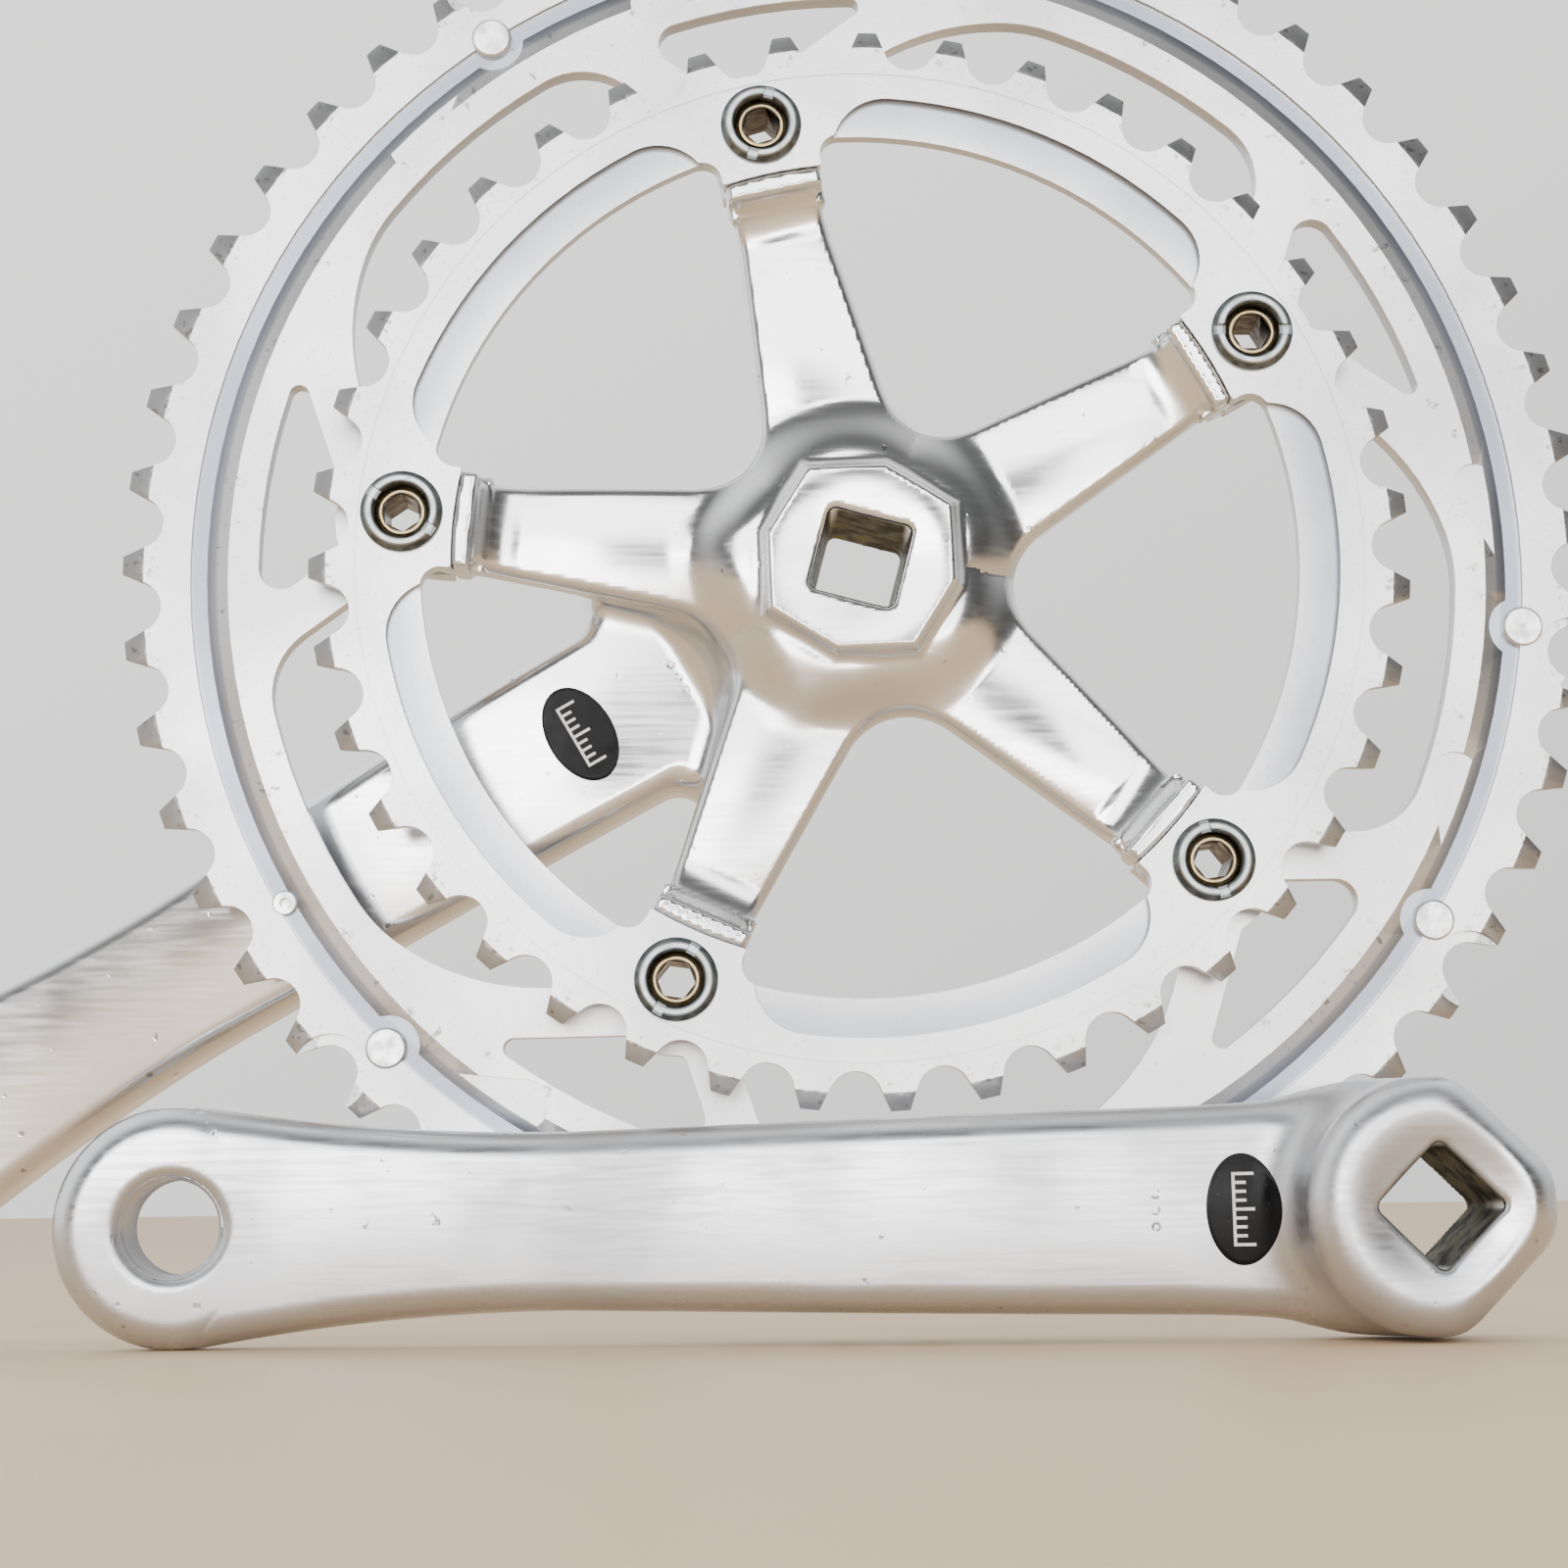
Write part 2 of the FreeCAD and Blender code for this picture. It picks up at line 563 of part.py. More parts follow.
def web(body):
    """The wedge that joins the crank arm to the spider arms on either side of it."""
    sketch = new_sketch(body, "web", depth="Params.web_depth")
    reach, spread = size("web_reach"), 180 / size("bolts")
    low, high = at(reach, -spread), at(reach, spread)
    sketch.addGeometry([Part.LineSegment(ORIGIN, low),
                        Part.Arc(low, Vector(reach, 0, 0), high),
                        Part.LineSegment(high, ORIGIN)], False)
    pad(body, sketch, "Params.web_thick")


def spider(body):
    """The five arms, each with a pilot shoulder and a thinner tab that carries the rings."""
    sketch = new_sketch(body, "spider", depth="Params.spider_depth")
    sketch.addGeometry(spider_outline(), False)
    pad(body, sketch, "Params.spider_thick")
    half, gap = size("lug_half"), size("ring_clearance")
    inner, outer = size("shoulder_inner"), size("pilot_radius") - gap
    shoulder = new_sketch(body, "shoulder", depth="Params.shoulder_depth")
    low, high = pilot_sides(180, half)
    sides = [low, Round(ORIGIN, outer), high, Round(ORIGIN, inner)]
    corners = [(1.0, turned(Vector(outer - 1.4, -half + 1, 0), 180)),
               (1.0, turned(Vector(outer - 1.4, half - 1, 0), 180)),
               (1.0, turned(Vector(inner + 0.7, half - 1, 0), 180)),
               (1.0, turned(Vector(inner + 0.7, -half + 1, 0), 180))]
    shoulder.addGeometry(outline(sides, corners), False)
    shoulder_pad = pad(body, shoulder, "Params.shoulder_thick")
    around(body, [shoulder_pad], "Params.bolts", "shoulders")
    tab = new_sketch(body, "tab", depth="Params.tab_depth")
    bolt = Vector(-size("bolt_circle") / 2, 0, 0)
    start = Vector(-inner - 1, half, 0)
    foot = Vector(-inner - 1, -half, 0)
    tab.addGeometry([Part.LineSegment(start, bolt + Vector(0, half, 0)),
                     Part.Arc(bolt + Vector(0, half, 0), bolt - Vector(half, 0, 0),
                              bolt - Vector(0, half, 0)),
                     Part.LineSegment(bolt - Vector(0, half, 0), foot),
                     Part.LineSegment(foot, start)], False)
    around(body, [pad(body, tab, "Params.tab_thick")], "Params.bolts", "tabs")
    holes = new_sketch(body, "tab_hole", depth="Params.tab_depth - %g" % BEYOND)
    bound_circle(holes, size("hole") / 2, "Params.hole / 2", bolt)
    cut = pocket(body, holes, "Params.tab_thick + %g" % (2 * BEYOND))
    around(body, [cut], "Params.bolts", "tab_holes")


def right_crank_arm():
    body = new_body("right_crank_arm")
    rounded_arm(body)
    end = size("boss_length")
    turned_feature(body, "boss", [(0, 2.6), (16.6, 2.6), (17.8, 3.4), (20.2, 4.8), (21.4, 6.0),
                                  (21.4, 11.0), (20.0, 13.5), (18.6, 17.0), (17.6, end - 0.8),
                                  (16.8, end), (0, end)])
    boss_face(body)
    web(body)
    spider(body)
    socket(body)
    pedal_hole(body)
    body.Placement = right_place()


def left_crank_arm():
    body = new_body("left_crank_arm")
    rounded_arm(body)
    end, flank = size("boss_length"), size("boss_radius")
    turned_feature(body, "boss", [(0, 0), (14.0, 0), (16.2, 1.2), (flank, 4.0),
                                  (flank, end - 1.6), (flank - 1.6, end), (0, end)])
    socket(body)
    pedal_hole(body)
    body.Placement = left_place()


def left_place():
    """The left arm's place, in front of the rings and nearly level."""
    base = Vector(size("left_x"), size("left_depth"), size("left_z"))
    return Placement(base, TURN.multiply(Rotation(Vector(0, 0, 1), size("left_turn"))))


def right_place():
    """The right arm's place, on the crank axis."""
    return Placement(ORIGIN, TURN.multiply(Rotation(Vector(0, 0, 1), size("right_turn"))))


# ---------------------------------------------------------------- fasteners and labels

def bolt_place(index, depth, spin=0.0):
    """The placement on a chainring bolt's axis."""
    angle = size("first_bolt") + index * 360 / size("bolts")
    base = TURN.multVec(at(size("bolt_circle") / 2, angle)) + Vector(0, depth, 0)
    return Placement(base, TURN.multiply(Rotation(Vector(0, 0, 1), spin)))


def chainring_nut(index):
    """A sleeve nut: a bevelled flange with two driver slots, and a threaded barrel."""
    body = new_body("chainring_nut_%d" % (index + 1))
    flange, barrel, bore = size("nut_flange") / 2, size("nut_barrel") / 2, size("thread") / 2
    thick, length = size("flange_thick"), size("nut_length")
    bevel = 0.9
    turned_feature(body, "nut", [(bore + 0.3, 0), (flange - bevel, 0), (flange, bevel),
                                 (flange, thick), (barrel, thick), (barrel, thick + length),
                                 (bore, thick + length), (bore, 0.3)])
    sketch = new_sketch(body, "slot")
    wide = size("slot_wide") / 2
    reach = flange + BEYOND
    sides = [Vector(-reach, -wide, 0), Vector(reach, -wide, 0),
             Vector(reach, wide, 0), Vector(-reach, wide, 0)]
    for start, end in zip(sides, sides[1:] + sides[:1]):
        sketch.addGeometry(Part.LineSegment(start, end), False)
    pocket(body, sketch, "Params.slot_sink")
    body.Placement = bolt_place(index, size("inner_depth") - thick, SLOT_ANGLES[index])


def chainring_bolt(index):
    """A hollow bolt: a flat head outboard and a threaded shank with a hexagon right through."""
    body = new_body("chainring_bolt_%d" % (index + 1))
    start, nose, shank = size("bolt_start"), size("bolt_nose") / 2, size("thread") / 2 - 0.02
    seat = size("outer_depth") + size("ring_thick") - size("head_thick")
    end = seat + size("head_thick")
    head = size("bolt_head") / 2
    turned_feature(body, "bolt", [(0, start), (nose, start), (shank, start + 0.8),
                                  (shank, seat), (head, seat), (head, end - 0.5),
                                  (head - 0.5, end), (0, end)])
    sketch = new_sketch(body, "hexagon", depth="Params.bolt_start - %g" % BEYOND)
    reach = size("hex_key") / math.sqrt(3)
    corners = [at(reach, 60 * i) for i in range(6)]
    for first, second in zip(corners, corners[1:] + corners[:1]):
        sketch.addGeometry(Part.LineSegment(first, second), False)
    pocket(body, sketch, "Params.outer_depth + Params.ring_thick + %g" % BEYOND)
    body.Placement = bolt_place(index, 0, 17.0 * index)


def ring_place(radius, angle, depth):
    """The placement of a pin on the outer ring."""
    return Placement(TURN.multVec(at(radius, angle)) + Vector(0, depth, 0), TURN)


def shift_pin(index):
    """A riveted pin that lifts the chain: a round head on the back, a shank through."""
    body = new_body("shift_pin_%d" % (index + 1))
    head, shank, thick = size("pin_head") / 2, size("pin_shank") / 2, size("pin_head_thick")
    end = size("ring_thick") - 0.2
    turned_feature(body, "pin", [(0, -0.25), (head - 0.35, -0.25), (head, 0.1), (head, thick),
                                 (shank, thick), (shank, end), (0, end)])
    body.Placement = ring_place(size("pin_radius"), PIN_ANGLES[index], size("outer_depth"))


def chain_drop_pin():
    """The pin over the crank arm that keeps a dropped chain out; its back end is hollow."""
    body = new_body("chain_drop_pin")
    shank, bore = size("drop_pin_head") / 2, size("drop_pin_bore") / 2
    end = size("ring_thick") + size("drop_pin_proud")
    turned_feature(body, "pin", [(bore, 0), (shank - 0.2, 0), (shank, 0.2), (shank, end - 0.4),
                                 (shank - 0.4, end), (0, end), (0, 1.0), (bore, 1.0)])
    body.Placement = ring_place(size("drop_pin_radius"), size("drop_pin_angle"),
                                size("outer_depth"))


def size_label(label, reach, arm_place):
    """An oval sticker on the arm's back, its long way across the arm."""
    body = new_body(label)
    sketch = new_sketch(body, "oval")
    ellipse = Part.Ellipse(ORIGIN, size("label_long") / 2, size("label_wide") / 2)
    ellipse.rotate(Placement(ORIGIN, Rotation(Vector(0, 0, 1), 90)))
    sketch.addGeometry(ellipse, False)
    pad(body, sketch, "Params.label_thick")
    slope = Rotation(Vector(0, 1, 0), size("arm_slope"))
    along = Vector(size(reach), 0, size("label_thick"))
    seat = Placement(Vector(0, 0, -size("arm_depth")) + slope.multVec(along), slope)
    body.Placement = arm_place.multiply(seat)


# ---------------------------------------------------------------- assembly

def check_and_export():
    """Stops on any failed feature, then writes each piece to its own file."""
    doc.recompute()
    for item in doc.Objects:
        if "Invalid" in item.State or "Error" in item.State:
            raise RuntimeError("%s failed: %s" % (item.Label, item.State))
    os.makedirs("parts", exist_ok=True)
    for body in doc.findObjects("PartDesign::Body"):
        shape = body.Shape
        if shape.isNull() or not shape.isValid() or len(shape.Solids) != 1:
            raise RuntimeError("%s has no single valid solid" % body.Label)
        shape.exportStep("parts/%s.step" % body.Label)
        box = shape.BoundBox
        print("%-18s %9.1f mm3  X %7.2f %7.2f  Y %6.2f %6.2f  Z %7.2f %7.2f" % (
            body.Label, shape.Volume, box.XMin, box.XMax, box.YMin, box.YMax,
            box.ZMin, box.ZMax))


right_crank_arm()
outer_chainring()
inner_chainring()
for place in range(int(size("bolts"))):
    chainring_nut(place)
    chainring_bolt(place)
for place in range(len(PIN_ANGLES)):
    shift_pin(place)
chain_drop_pin()
left_crank_arm()
size_label("right_size_label", "right_label_reach", right_place())
size_label("left_size_label", "left_label_reach", left_place())
check_and_export()
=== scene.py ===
import json
import math

import bmesh
import bpy
import numpy as np
from mathutils import Matrix, Vector


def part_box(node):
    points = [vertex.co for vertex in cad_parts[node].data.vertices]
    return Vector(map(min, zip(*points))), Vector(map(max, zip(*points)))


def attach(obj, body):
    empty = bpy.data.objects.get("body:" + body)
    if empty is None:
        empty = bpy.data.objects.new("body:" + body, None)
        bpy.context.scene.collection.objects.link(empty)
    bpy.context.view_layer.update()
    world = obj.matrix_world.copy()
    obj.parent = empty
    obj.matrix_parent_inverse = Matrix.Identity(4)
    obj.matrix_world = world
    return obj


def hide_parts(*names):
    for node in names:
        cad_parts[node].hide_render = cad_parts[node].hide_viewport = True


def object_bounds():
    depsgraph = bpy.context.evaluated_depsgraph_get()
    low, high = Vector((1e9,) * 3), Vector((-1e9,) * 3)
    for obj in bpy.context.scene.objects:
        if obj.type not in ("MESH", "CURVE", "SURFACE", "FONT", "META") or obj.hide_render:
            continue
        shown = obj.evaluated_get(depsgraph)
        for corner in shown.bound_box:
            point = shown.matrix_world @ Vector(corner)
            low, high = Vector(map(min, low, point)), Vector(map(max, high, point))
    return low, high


MM = 0.001
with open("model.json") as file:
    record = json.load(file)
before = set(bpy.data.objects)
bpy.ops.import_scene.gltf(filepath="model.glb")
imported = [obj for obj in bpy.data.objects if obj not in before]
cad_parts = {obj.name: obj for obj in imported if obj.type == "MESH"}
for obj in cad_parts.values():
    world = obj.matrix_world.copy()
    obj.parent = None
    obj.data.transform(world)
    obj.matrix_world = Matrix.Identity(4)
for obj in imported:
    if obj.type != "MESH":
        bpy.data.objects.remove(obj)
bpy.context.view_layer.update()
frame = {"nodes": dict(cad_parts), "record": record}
nodes = frame["nodes"]
mounts = {mount["name"]: mount for mount in frame["record"]["mounts"]}


def mount_mm(name):
    """A mount's place in the row frame, in millimetres."""
    return np.array(mounts[name]["pos_m"]) / MM


# Millimetres and degrees, in the row frame. Depths run along y from a boss's back face, and
# directions turn from +X towards +Z.
RIGHT_TURN, LEFT_TURN = 210.0, 180.36
SPIDER_TURN, SPIDER_STEP = 30.0, 72.0
CRANK = 172.5
BOLT_REACH = 67.5

# Square sockets, and the bores from the other side.
SOCKET_HALF, SOCKET_CORNER, SOCKET_TAPER = 6.3, 1.2, math.tan(math.radians(2.0))
SOCKET_END, BOSS_END = 18.0, 28.0
SOCKET_OVERCUT, MOUTH_CHAMFER = 0.6, 0.8
EXTRACTOR_BORE, EXTRACTOR_PITCH = 11.0, 1.0
PEDAL_BORE, PEDAL_ROOM, PEDAL_PITCH = 7.14, 0.05, 1.27

# The bar of an arm, from its root past the neck to the pedal eye.
EYE, EYE_BACK, EYE_FRONT, EYE_CHAMFER = 17.0, 22.6, 35.4, 0.9
NECK, NECK_HALF, FLANK_RADIUS = 117.0, 12.35, 307.0
BAR_END, BAR_FRONT, ROOT_RADIUS, CROWN = 169.6, 24.4, 15.0, 0.0022
BEND_START, BEND_LONG = 48.0, 118.0

# The left boss, and the left arm's back at its root and rounded edges.
LEFT_BOSS, LEFT_BOSS_EDGE, LEFT_BOSS_HALF = 17.6, 5.0, 17.5
LEFT_ROOT, LEFT_EDGE = 12.3, 4.2

# The spider: each arm's end, ramp, stop against the ring and tab around its bolt.
SPIDER_HALF, SPIDER_NARROWING, CROTCH = 9.9, 0.1, 11.5
SPIDER_END, SPIDER_FRONT, SPIDER_EDGE = 57.6, 11.0, 1.5
RAMP_START, RAMP_LONG, RAMP_RADIUS = 50.2, 7.2, 9.0
STOP_START, STOP_END, STOP_HALF = 57.0, 59.9, 7.15
TAB_START, TAB_RADIUS, BOLT_HOLE = 55.0, 7.2, 5.05
WEB_START, WEB_END = 12.0, 41.5

# The right boss, an eight-sided face on a round barrel, and the right arm's root and edges.
HUB_FLAT, HUB_WAY, HUB_DEEP, BARREL = 13.75, 28.4, 8.0, 17.4
RIGHT_ROOT, RIGHT_EDGE = 12.4, 3.4

# Stickers with a tick scale, and punched rings.
STICKER_LONG, STICKER_WIDE = 7.6, 5.0
TICKS, TICK_STEP, TICK_SHORT, TICK_TALL = 9, 1.2, 1.3, 2.4
DOT_RADIUS, DOT_STEP = 0.5, 2.2


# ---------------------------------------------------------------- distance shapes

def smooth_min(a, b, k):
    """The smaller distance, with a rounded hollow about k wide where both are near."""
    h = np.maximum(k - np.abs(a - b), 0.0) / k
    return np.minimum(a, b) - h * h * k * 0.25


def smooth_max(a, b, k):
    """The larger distance, with a rounded ridge about k wide where both are near."""
    return -smooth_min(-a, -b, k)


def slab(flat, y, back, front, edge):
    """A flat outline's distance carried from back to front, with rounded edges."""
    across = flat + edge
    along = np.abs(y - (back + front) * 0.5) - (front - back) * 0.5 + edge
    outside = np.hypot(np.maximum(across, 0.0), np.maximum(along, 0.0))
    return outside + np.minimum(np.maximum(across, along), 0.0) - edge


def turned(x, z, degrees):
    """Coordinates along and across a direction that many degrees from +X towards +Z."""
    c, s = math.cos(math.radians(degrees)), math.sin(math.radians(degrees))
    return x * c + z * s, z * c - x * s


def round_square(x, z, half, corner):
    """A square outline with rounded corners."""
    ax, az = np.abs(x) - half + corner, np.abs(z) - half + corner
    outside = np.hypot(np.maximum(ax, 0.0), np.maximum(az, 0.0))
    return outside + np.minimum(np.maximum(ax, az), 0.0) - corner


def polygon(x, z, sides):
    """A convex outline from its sides, each (direction in degrees, distance)."""
    return np.maximum.reduce([turned(x, z, way)[0] - reach for way, reach in sides])


def smoothstep(v):
    v = np.clip(v, 0.0, 1.0)
    return v * v * (3.0 - 2.0 * v)


# ---------------------------------------------------------------- crank arms

def arm_half_width(s):
    """Half the arm's width: hollow flanks, narrowest at the neck, wider at the root."""
    past_neck = np.clip(s - NECK, 0.0, 60.0)
    towards_eye = NECK_HALF + FLANK_RADIUS - np.sqrt(FLANK_RADIUS ** 2 - past_neck ** 2)
    root = np.clip(30.0 - s, 0.0, 15.0)
    towards_boss = 0.0224 * np.clip(NECK - s, 0.0, None) + 0.0036 * root * root
    return towards_eye + towards_boss


def arm_flat(s, t, boss):
    """The arm's outline seen along the crank axis; boss is the distance to its round root."""
    flank = (np.abs(t) - arm_half_width(s)) * 0.99  # the flanks slope, so distances shrink
    bar = np.maximum(np.maximum(flank, s - BAR_END), -s)
    eye = np.hypot(s - CRANK, t) - EYE
    return np.minimum(np.minimum(bar, eye), boss)


def arm_face(s, start, end):
    """Depth of an arm's face: level at first, then outboard to the pedal eye."""
    return start + (end - start) * smoothstep((s - BEND_START) / BEND_LONG)


def arm_body(s, y, t, flat, start, edge):
    """The arm between its back and front faces, both crowned."""
    crown = CROWN * t * t
    back = arm_face(s, start, EYE_BACK) + crown
    front = arm_face(s, BAR_FRONT, EYE_FRONT) - crown
    return slab(flat, y, back, front, edge)


def bores(x, y, z, s, t):
    """What is cut from every arm: the tapered square, the extractor's and pedal's bores."""
    half = SOCKET_HALF - SOCKET_TAPER * np.clip(y, 0.0, None)
    square = round_square(*turned(s, t, 45.0), half, SOCKET_CORNER)
    square = np.maximum(square, y - SOCKET_END - SOCKET_OVERCUT)
    flare = np.clip(y - BOSS_END + MOUTH_CHAMFER, 0.0, None)
    extractor = np.maximum(np.hypot(x, z) - EXTRACTOR_BORE - flare, SOCKET_END - y)
    flare = np.maximum(EYE_BACK + EYE_CHAMFER - y, y - EYE_FRONT + EYE_CHAMFER)
    pedal = np.hypot(s - CRANK, t) - PEDAL_BORE - PEDAL_ROOM - np.clip(flare, 0.0, None)
    return np.minimum(np.minimum(square, extractor), pedal)


def dish(reach, y, radius, sink):
    """The shallow hollow around a square socket, as a large sphere's distance."""
    ball = (radius ** 2 + sink ** 2) / (2 * sink)
    return np.hypot(reach, y + ball - sink) - ball


def left_shape(x, y, z):
    """The left arm about its own boss, depth from the boss's back face."""
    s, t = turned(x, z, LEFT_TURN)
    reach = np.hypot(x, z)
    outline = reach - LEFT_BOSS
    for way, flat, blend in ((180.0, 16.2, 1.6), (135.0, 14.5, 2.0), (225.0, 14.5, 2.0)):
        outline = smooth_max(outline, turned(s, t, way)[0] - flat, blend)
    boss = slab(outline, y, 0.0, BOSS_END, LEFT_BOSS_EDGE)
    arm = arm_body(s, y, t, arm_flat(s, t, reach - ROOT_RADIUS), LEFT_ROOT, LEFT_EDGE)
    solid = smooth_max(smooth_min(boss, arm, 8.0), np.abs(t) - LEFT_BOSS_HALF, 1.0)
    solid = smooth_max(solid, -dish(reach, y, 11.2, 2.1), 0.8)
    return smooth_max(solid, -bores(x, y, z, s, t), 0.9)


def folded(x, z):
    """Along and across the nearest spider arm, then the same for the next one."""
    reach, angle = np.hypot(x, z), np.degrees(np.arctan2(z, x)) - SPIDER_TURN
    off = np.abs(angle - SPIDER_STEP * np.round(angle / SPIDER_STEP))
    return [(reach * np.cos(np.radians(way)), reach * np.sin(np.radians(way)))
            for way in (off, SPIDER_STEP - off)]


def spider_flat(x, z):
    """The five arms' outline, with rounded crotches."""
    sides = []
    for along, across in folded(x, z):
        half = SPIDER_HALF - SPIDER_NARROWING * (np.clip(along, 10.0, 70.0) - 22.0)
        sides.append(np.maximum(across - half, -along) * 0.995)  # the sides slope
    inner = np.hypot(np.maximum(CROTCH - sides[0], 0.0), np.maximum(CROTCH - sides[1], 0.0))
    return np.maximum(CROTCH, np.minimum(sides[0], sides[1])) - inner


def spider_back(along, across, reach):
    """Depth of a spider arm's back: bowed, with a ramp at its end, dropping at the hub."""
    bow = 4.8 + 0.0022 * np.clip(along - 36.0, -11.0, 14.2) ** 2
    climb = np.clip(along - RAMP_START, 0.0, RAMP_LONG)
    ramp = RAMP_RADIUS - np.sqrt(RAMP_RADIUS ** 2 - climb ** 2)
    flank = 2.9 * smoothstep((25.5 - reach) / 9.5)
    return bow - ramp + 0.010 * across * across - flank


def spider_body(x, y, z):
    """The arms, each with a ramp, a stop against the ring and a tab around its bolt."""
    along, across = folded(x, z)[0]
    reach = np.hypot(x, z)
    flat = np.maximum(spider_flat(x, z), along - SPIDER_END)
    arms = slab(flat, y, spider_back(along, across, reach), SPIDER_FRONT, SPIDER_EDGE)
    stop = np.maximum(across - STOP_HALF, np.maximum(STOP_START - along, reach - STOP_END))
    stop = slab(stop, y, 0.8, 10.5, 0.7)
    end = np.hypot(along - BOLT_REACH, across)
    tab = np.minimum(np.maximum(across - TAB_RADIUS, along - BOLT_REACH), end - TAB_RADIUS)
    tab = slab(np.maximum(tab, TAB_START - along), y, 4.05, 6.95, 0.3)
    solid = smooth_min(smooth_min(arms, stop, 0.5), tab, 0.4)
    return np.maximum(solid, BOLT_HOLE - end)


def spider_web(s, t):
    """The wedge between the two spider arms beside the crank arm."""
    low, high = turned(s, t, SPIDER_STEP / 2), turned(s, t, -SPIDER_STEP / 2)
    return np.maximum(np.maximum(low[1], -high[1]), WEB_START - s)


def hub(x, y, z):
    """The boss: an eight-sided face and the barrel behind it."""
    ways = [RIGHT_TURN + 90.0 * k + side for k in range(4) for side in (-HUB_WAY, HUB_WAY)]
    draft = 0.22 * np.clip(y, 0.0, 6.0)
    face = slab(polygon(x, z, [(way, HUB_FLAT) for way in ways]) - draft, y, 0.0, HUB_DEEP, 0.8)
    barrel = slab(np.hypot(x, z) - BARREL, y, HUB_DEEP, BOSS_END, 1.5)
    return np.minimum(face, barrel)


def right_shape(x, y, z):
    """The right arm and its spider, one forging, about the crank axis."""
    s, t = turned(x, z, RIGHT_TURN)
    reach = np.hypot(x, z)
    body = smooth_min(spider_body(x, y, z), hub(x, y, z), 1.3)
    web = smooth_max(spider_web(s, t), reach - WEB_END, 2.0)
    flat = smooth_min(arm_flat(s, t, reach - ROOT_RADIUS), web, 3.0)
    root = RIGHT_ROOT - 8.4 * smoothstep((31.0 - s) / 15.0)
    arm = arm_body(s, y, t, flat, root, RIGHT_EDGE)
    solid = smooth_min(body, arm, 5.0)
    solid = smooth_max(solid, -dish(reach, y, 10.2, 1.35), 1.2)
    return smooth_max(solid, -bores(x, y, z, s, t), 0.9)


# ---------------------------------------------------------------- meshes from shapes

def mean_crossings(value, cells):
    """For each cell, the mean of the points where the surface cuts its edges, in grid steps."""
    total, hits = np.zeros((len(cells), 3)), np.zeros(len(cells))
    for axis in range(3):
        for corner in np.ndindex(2, 2, 2):
            if corner[axis]:
                continue
            start = cells + corner
            end = start + np.eye(3, dtype=int)[axis]
            a, b = value[tuple(start.T)], value[tuple(end.T)]
            cross = (a < 0) != (b < 0)
            along = np.where(cross, a / np.where(cross, a - b, 1.0), 0.0)
            point = start + along[:, None] * np.eye(3)[axis]
            total[cross] += point[cross]
            hits += cross
    return total / hits[:, None]


def net_quads(inside, index):
    """A quad through the four cells around each grid edge that the surface cuts."""
    quads = []
    for axis in range(3):
        near, far = np.delete(inside, -1, axis), np.delete(inside, 0, axis)
        edges = np.argwhere(near != far)
        u, v = [k for k in range(3) if k != axis]
        keep = (edges[:, u] > 0) & (edges[:, v] > 0)
        keep &= (edges[:, u] < index.shape[u]) & (edges[:, v] < index.shape[v])
        edges = edges[keep]
        ring = []
        for du, dv in ((1, 1), (0, 1), (0, 0), (1, 0)):
            cell = edges.copy()
            cell[:, u] -= du
            cell[:, v] -= dv
            ring.append(index[tuple(cell.T)])
        quad = np.stack(ring, axis=1)
        flip = near[tuple(edges.T)] == (axis == 1)
        quad[flip] = quad[flip][:, ::-1]
        quads.append(quad)
    return np.concatenate(quads)


def surface_net(shape, low, high, pitch):
    """Vertices and quads where the shape's distance is zero, on a grid of that pitch."""
    axes = [np.arange(a, b + pitch, pitch) for a, b in zip(low, high)]
    value = shape(axes[0][:, None, None], axes[1][None, :, None], axes[2][None, None, :])
    value = np.broadcast_to(value, [len(a) for a in axes]).astype(np.float32)
    inside = value < 0
    count = np.zeros([n - 1 for n in value.shape], np.int8)
    for corner in np.ndindex(2, 2, 2):
        count += inside[tuple(slice(c, n - 1 + c) for c, n in zip(corner, value.shape))]
    cells = np.argwhere((count > 0) & (count < 8))
    index = -np.ones(count.shape, np.int64)
    index[tuple(cells.T)] = np.arange(len(cells))
    vertices = np.array(low) + mean_crossings(value, cells) * pitch
    return vertices, net_quads(inside, index)


def slope(shape, points, step=0.04):
    """The shape's gradient at points, as a unit vector and its size."""
    grad = np.zeros_like(points)
    for axis in range(3):
        ahead, behind = points.copy(), points.copy()
        ahead[:, axis] += step
        behind[:, axis] -= step
        grad[:, axis] = (shape(*ahead.T) - shape(*behind.T)) / (2 * step)
    size = np.maximum(np.linalg.norm(grad, axis=1), 0.2)
    return grad / size[:, None], size


def evened(points, quads, normal):
    """How far each vertex moves along the surface to sit between its neighbours."""
    total, hits = np.zeros_like(points), np.zeros(len(points))
    for shift in (1, 3):
        near = points[np.roll(quads, shift, axis=1)].reshape(-1, 3)
        np.add.at(total, quads.ravel(), near)
        np.add.at(hits, quads.ravel(), 1)
    move = total / hits[:, None] - points
    return move - normal * (move * normal).sum(axis=1)[:, None]


def shaped_piece(name, shape, low, high, origin, pitch):
    """A closed mesh of a distance shape, with the shape's own normals."""
    points, quads = surface_net(shape, low, high, pitch)
    for even in (0.0, 0.6, 0.6, 0.0):
        normal, size = slope(shape, points)
        points += even * evened(points, quads, normal)
        points -= normal * np.clip(shape(*points.T) / size, -pitch, pitch)[:, None]
    normal, _ = slope(shape, points)
    mesh = bpy.data.meshes.new(name)
    mesh.from_pydata(((points + origin) * MM).tolist(), [], quads.tolist())
    mesh.polygons.foreach_set("use_smooth", [True] * len(mesh.polygons))
    mesh.normals_split_custom_set_from_vertices(normal.tolist())
    mesh.update()
    return add_object(name, mesh)


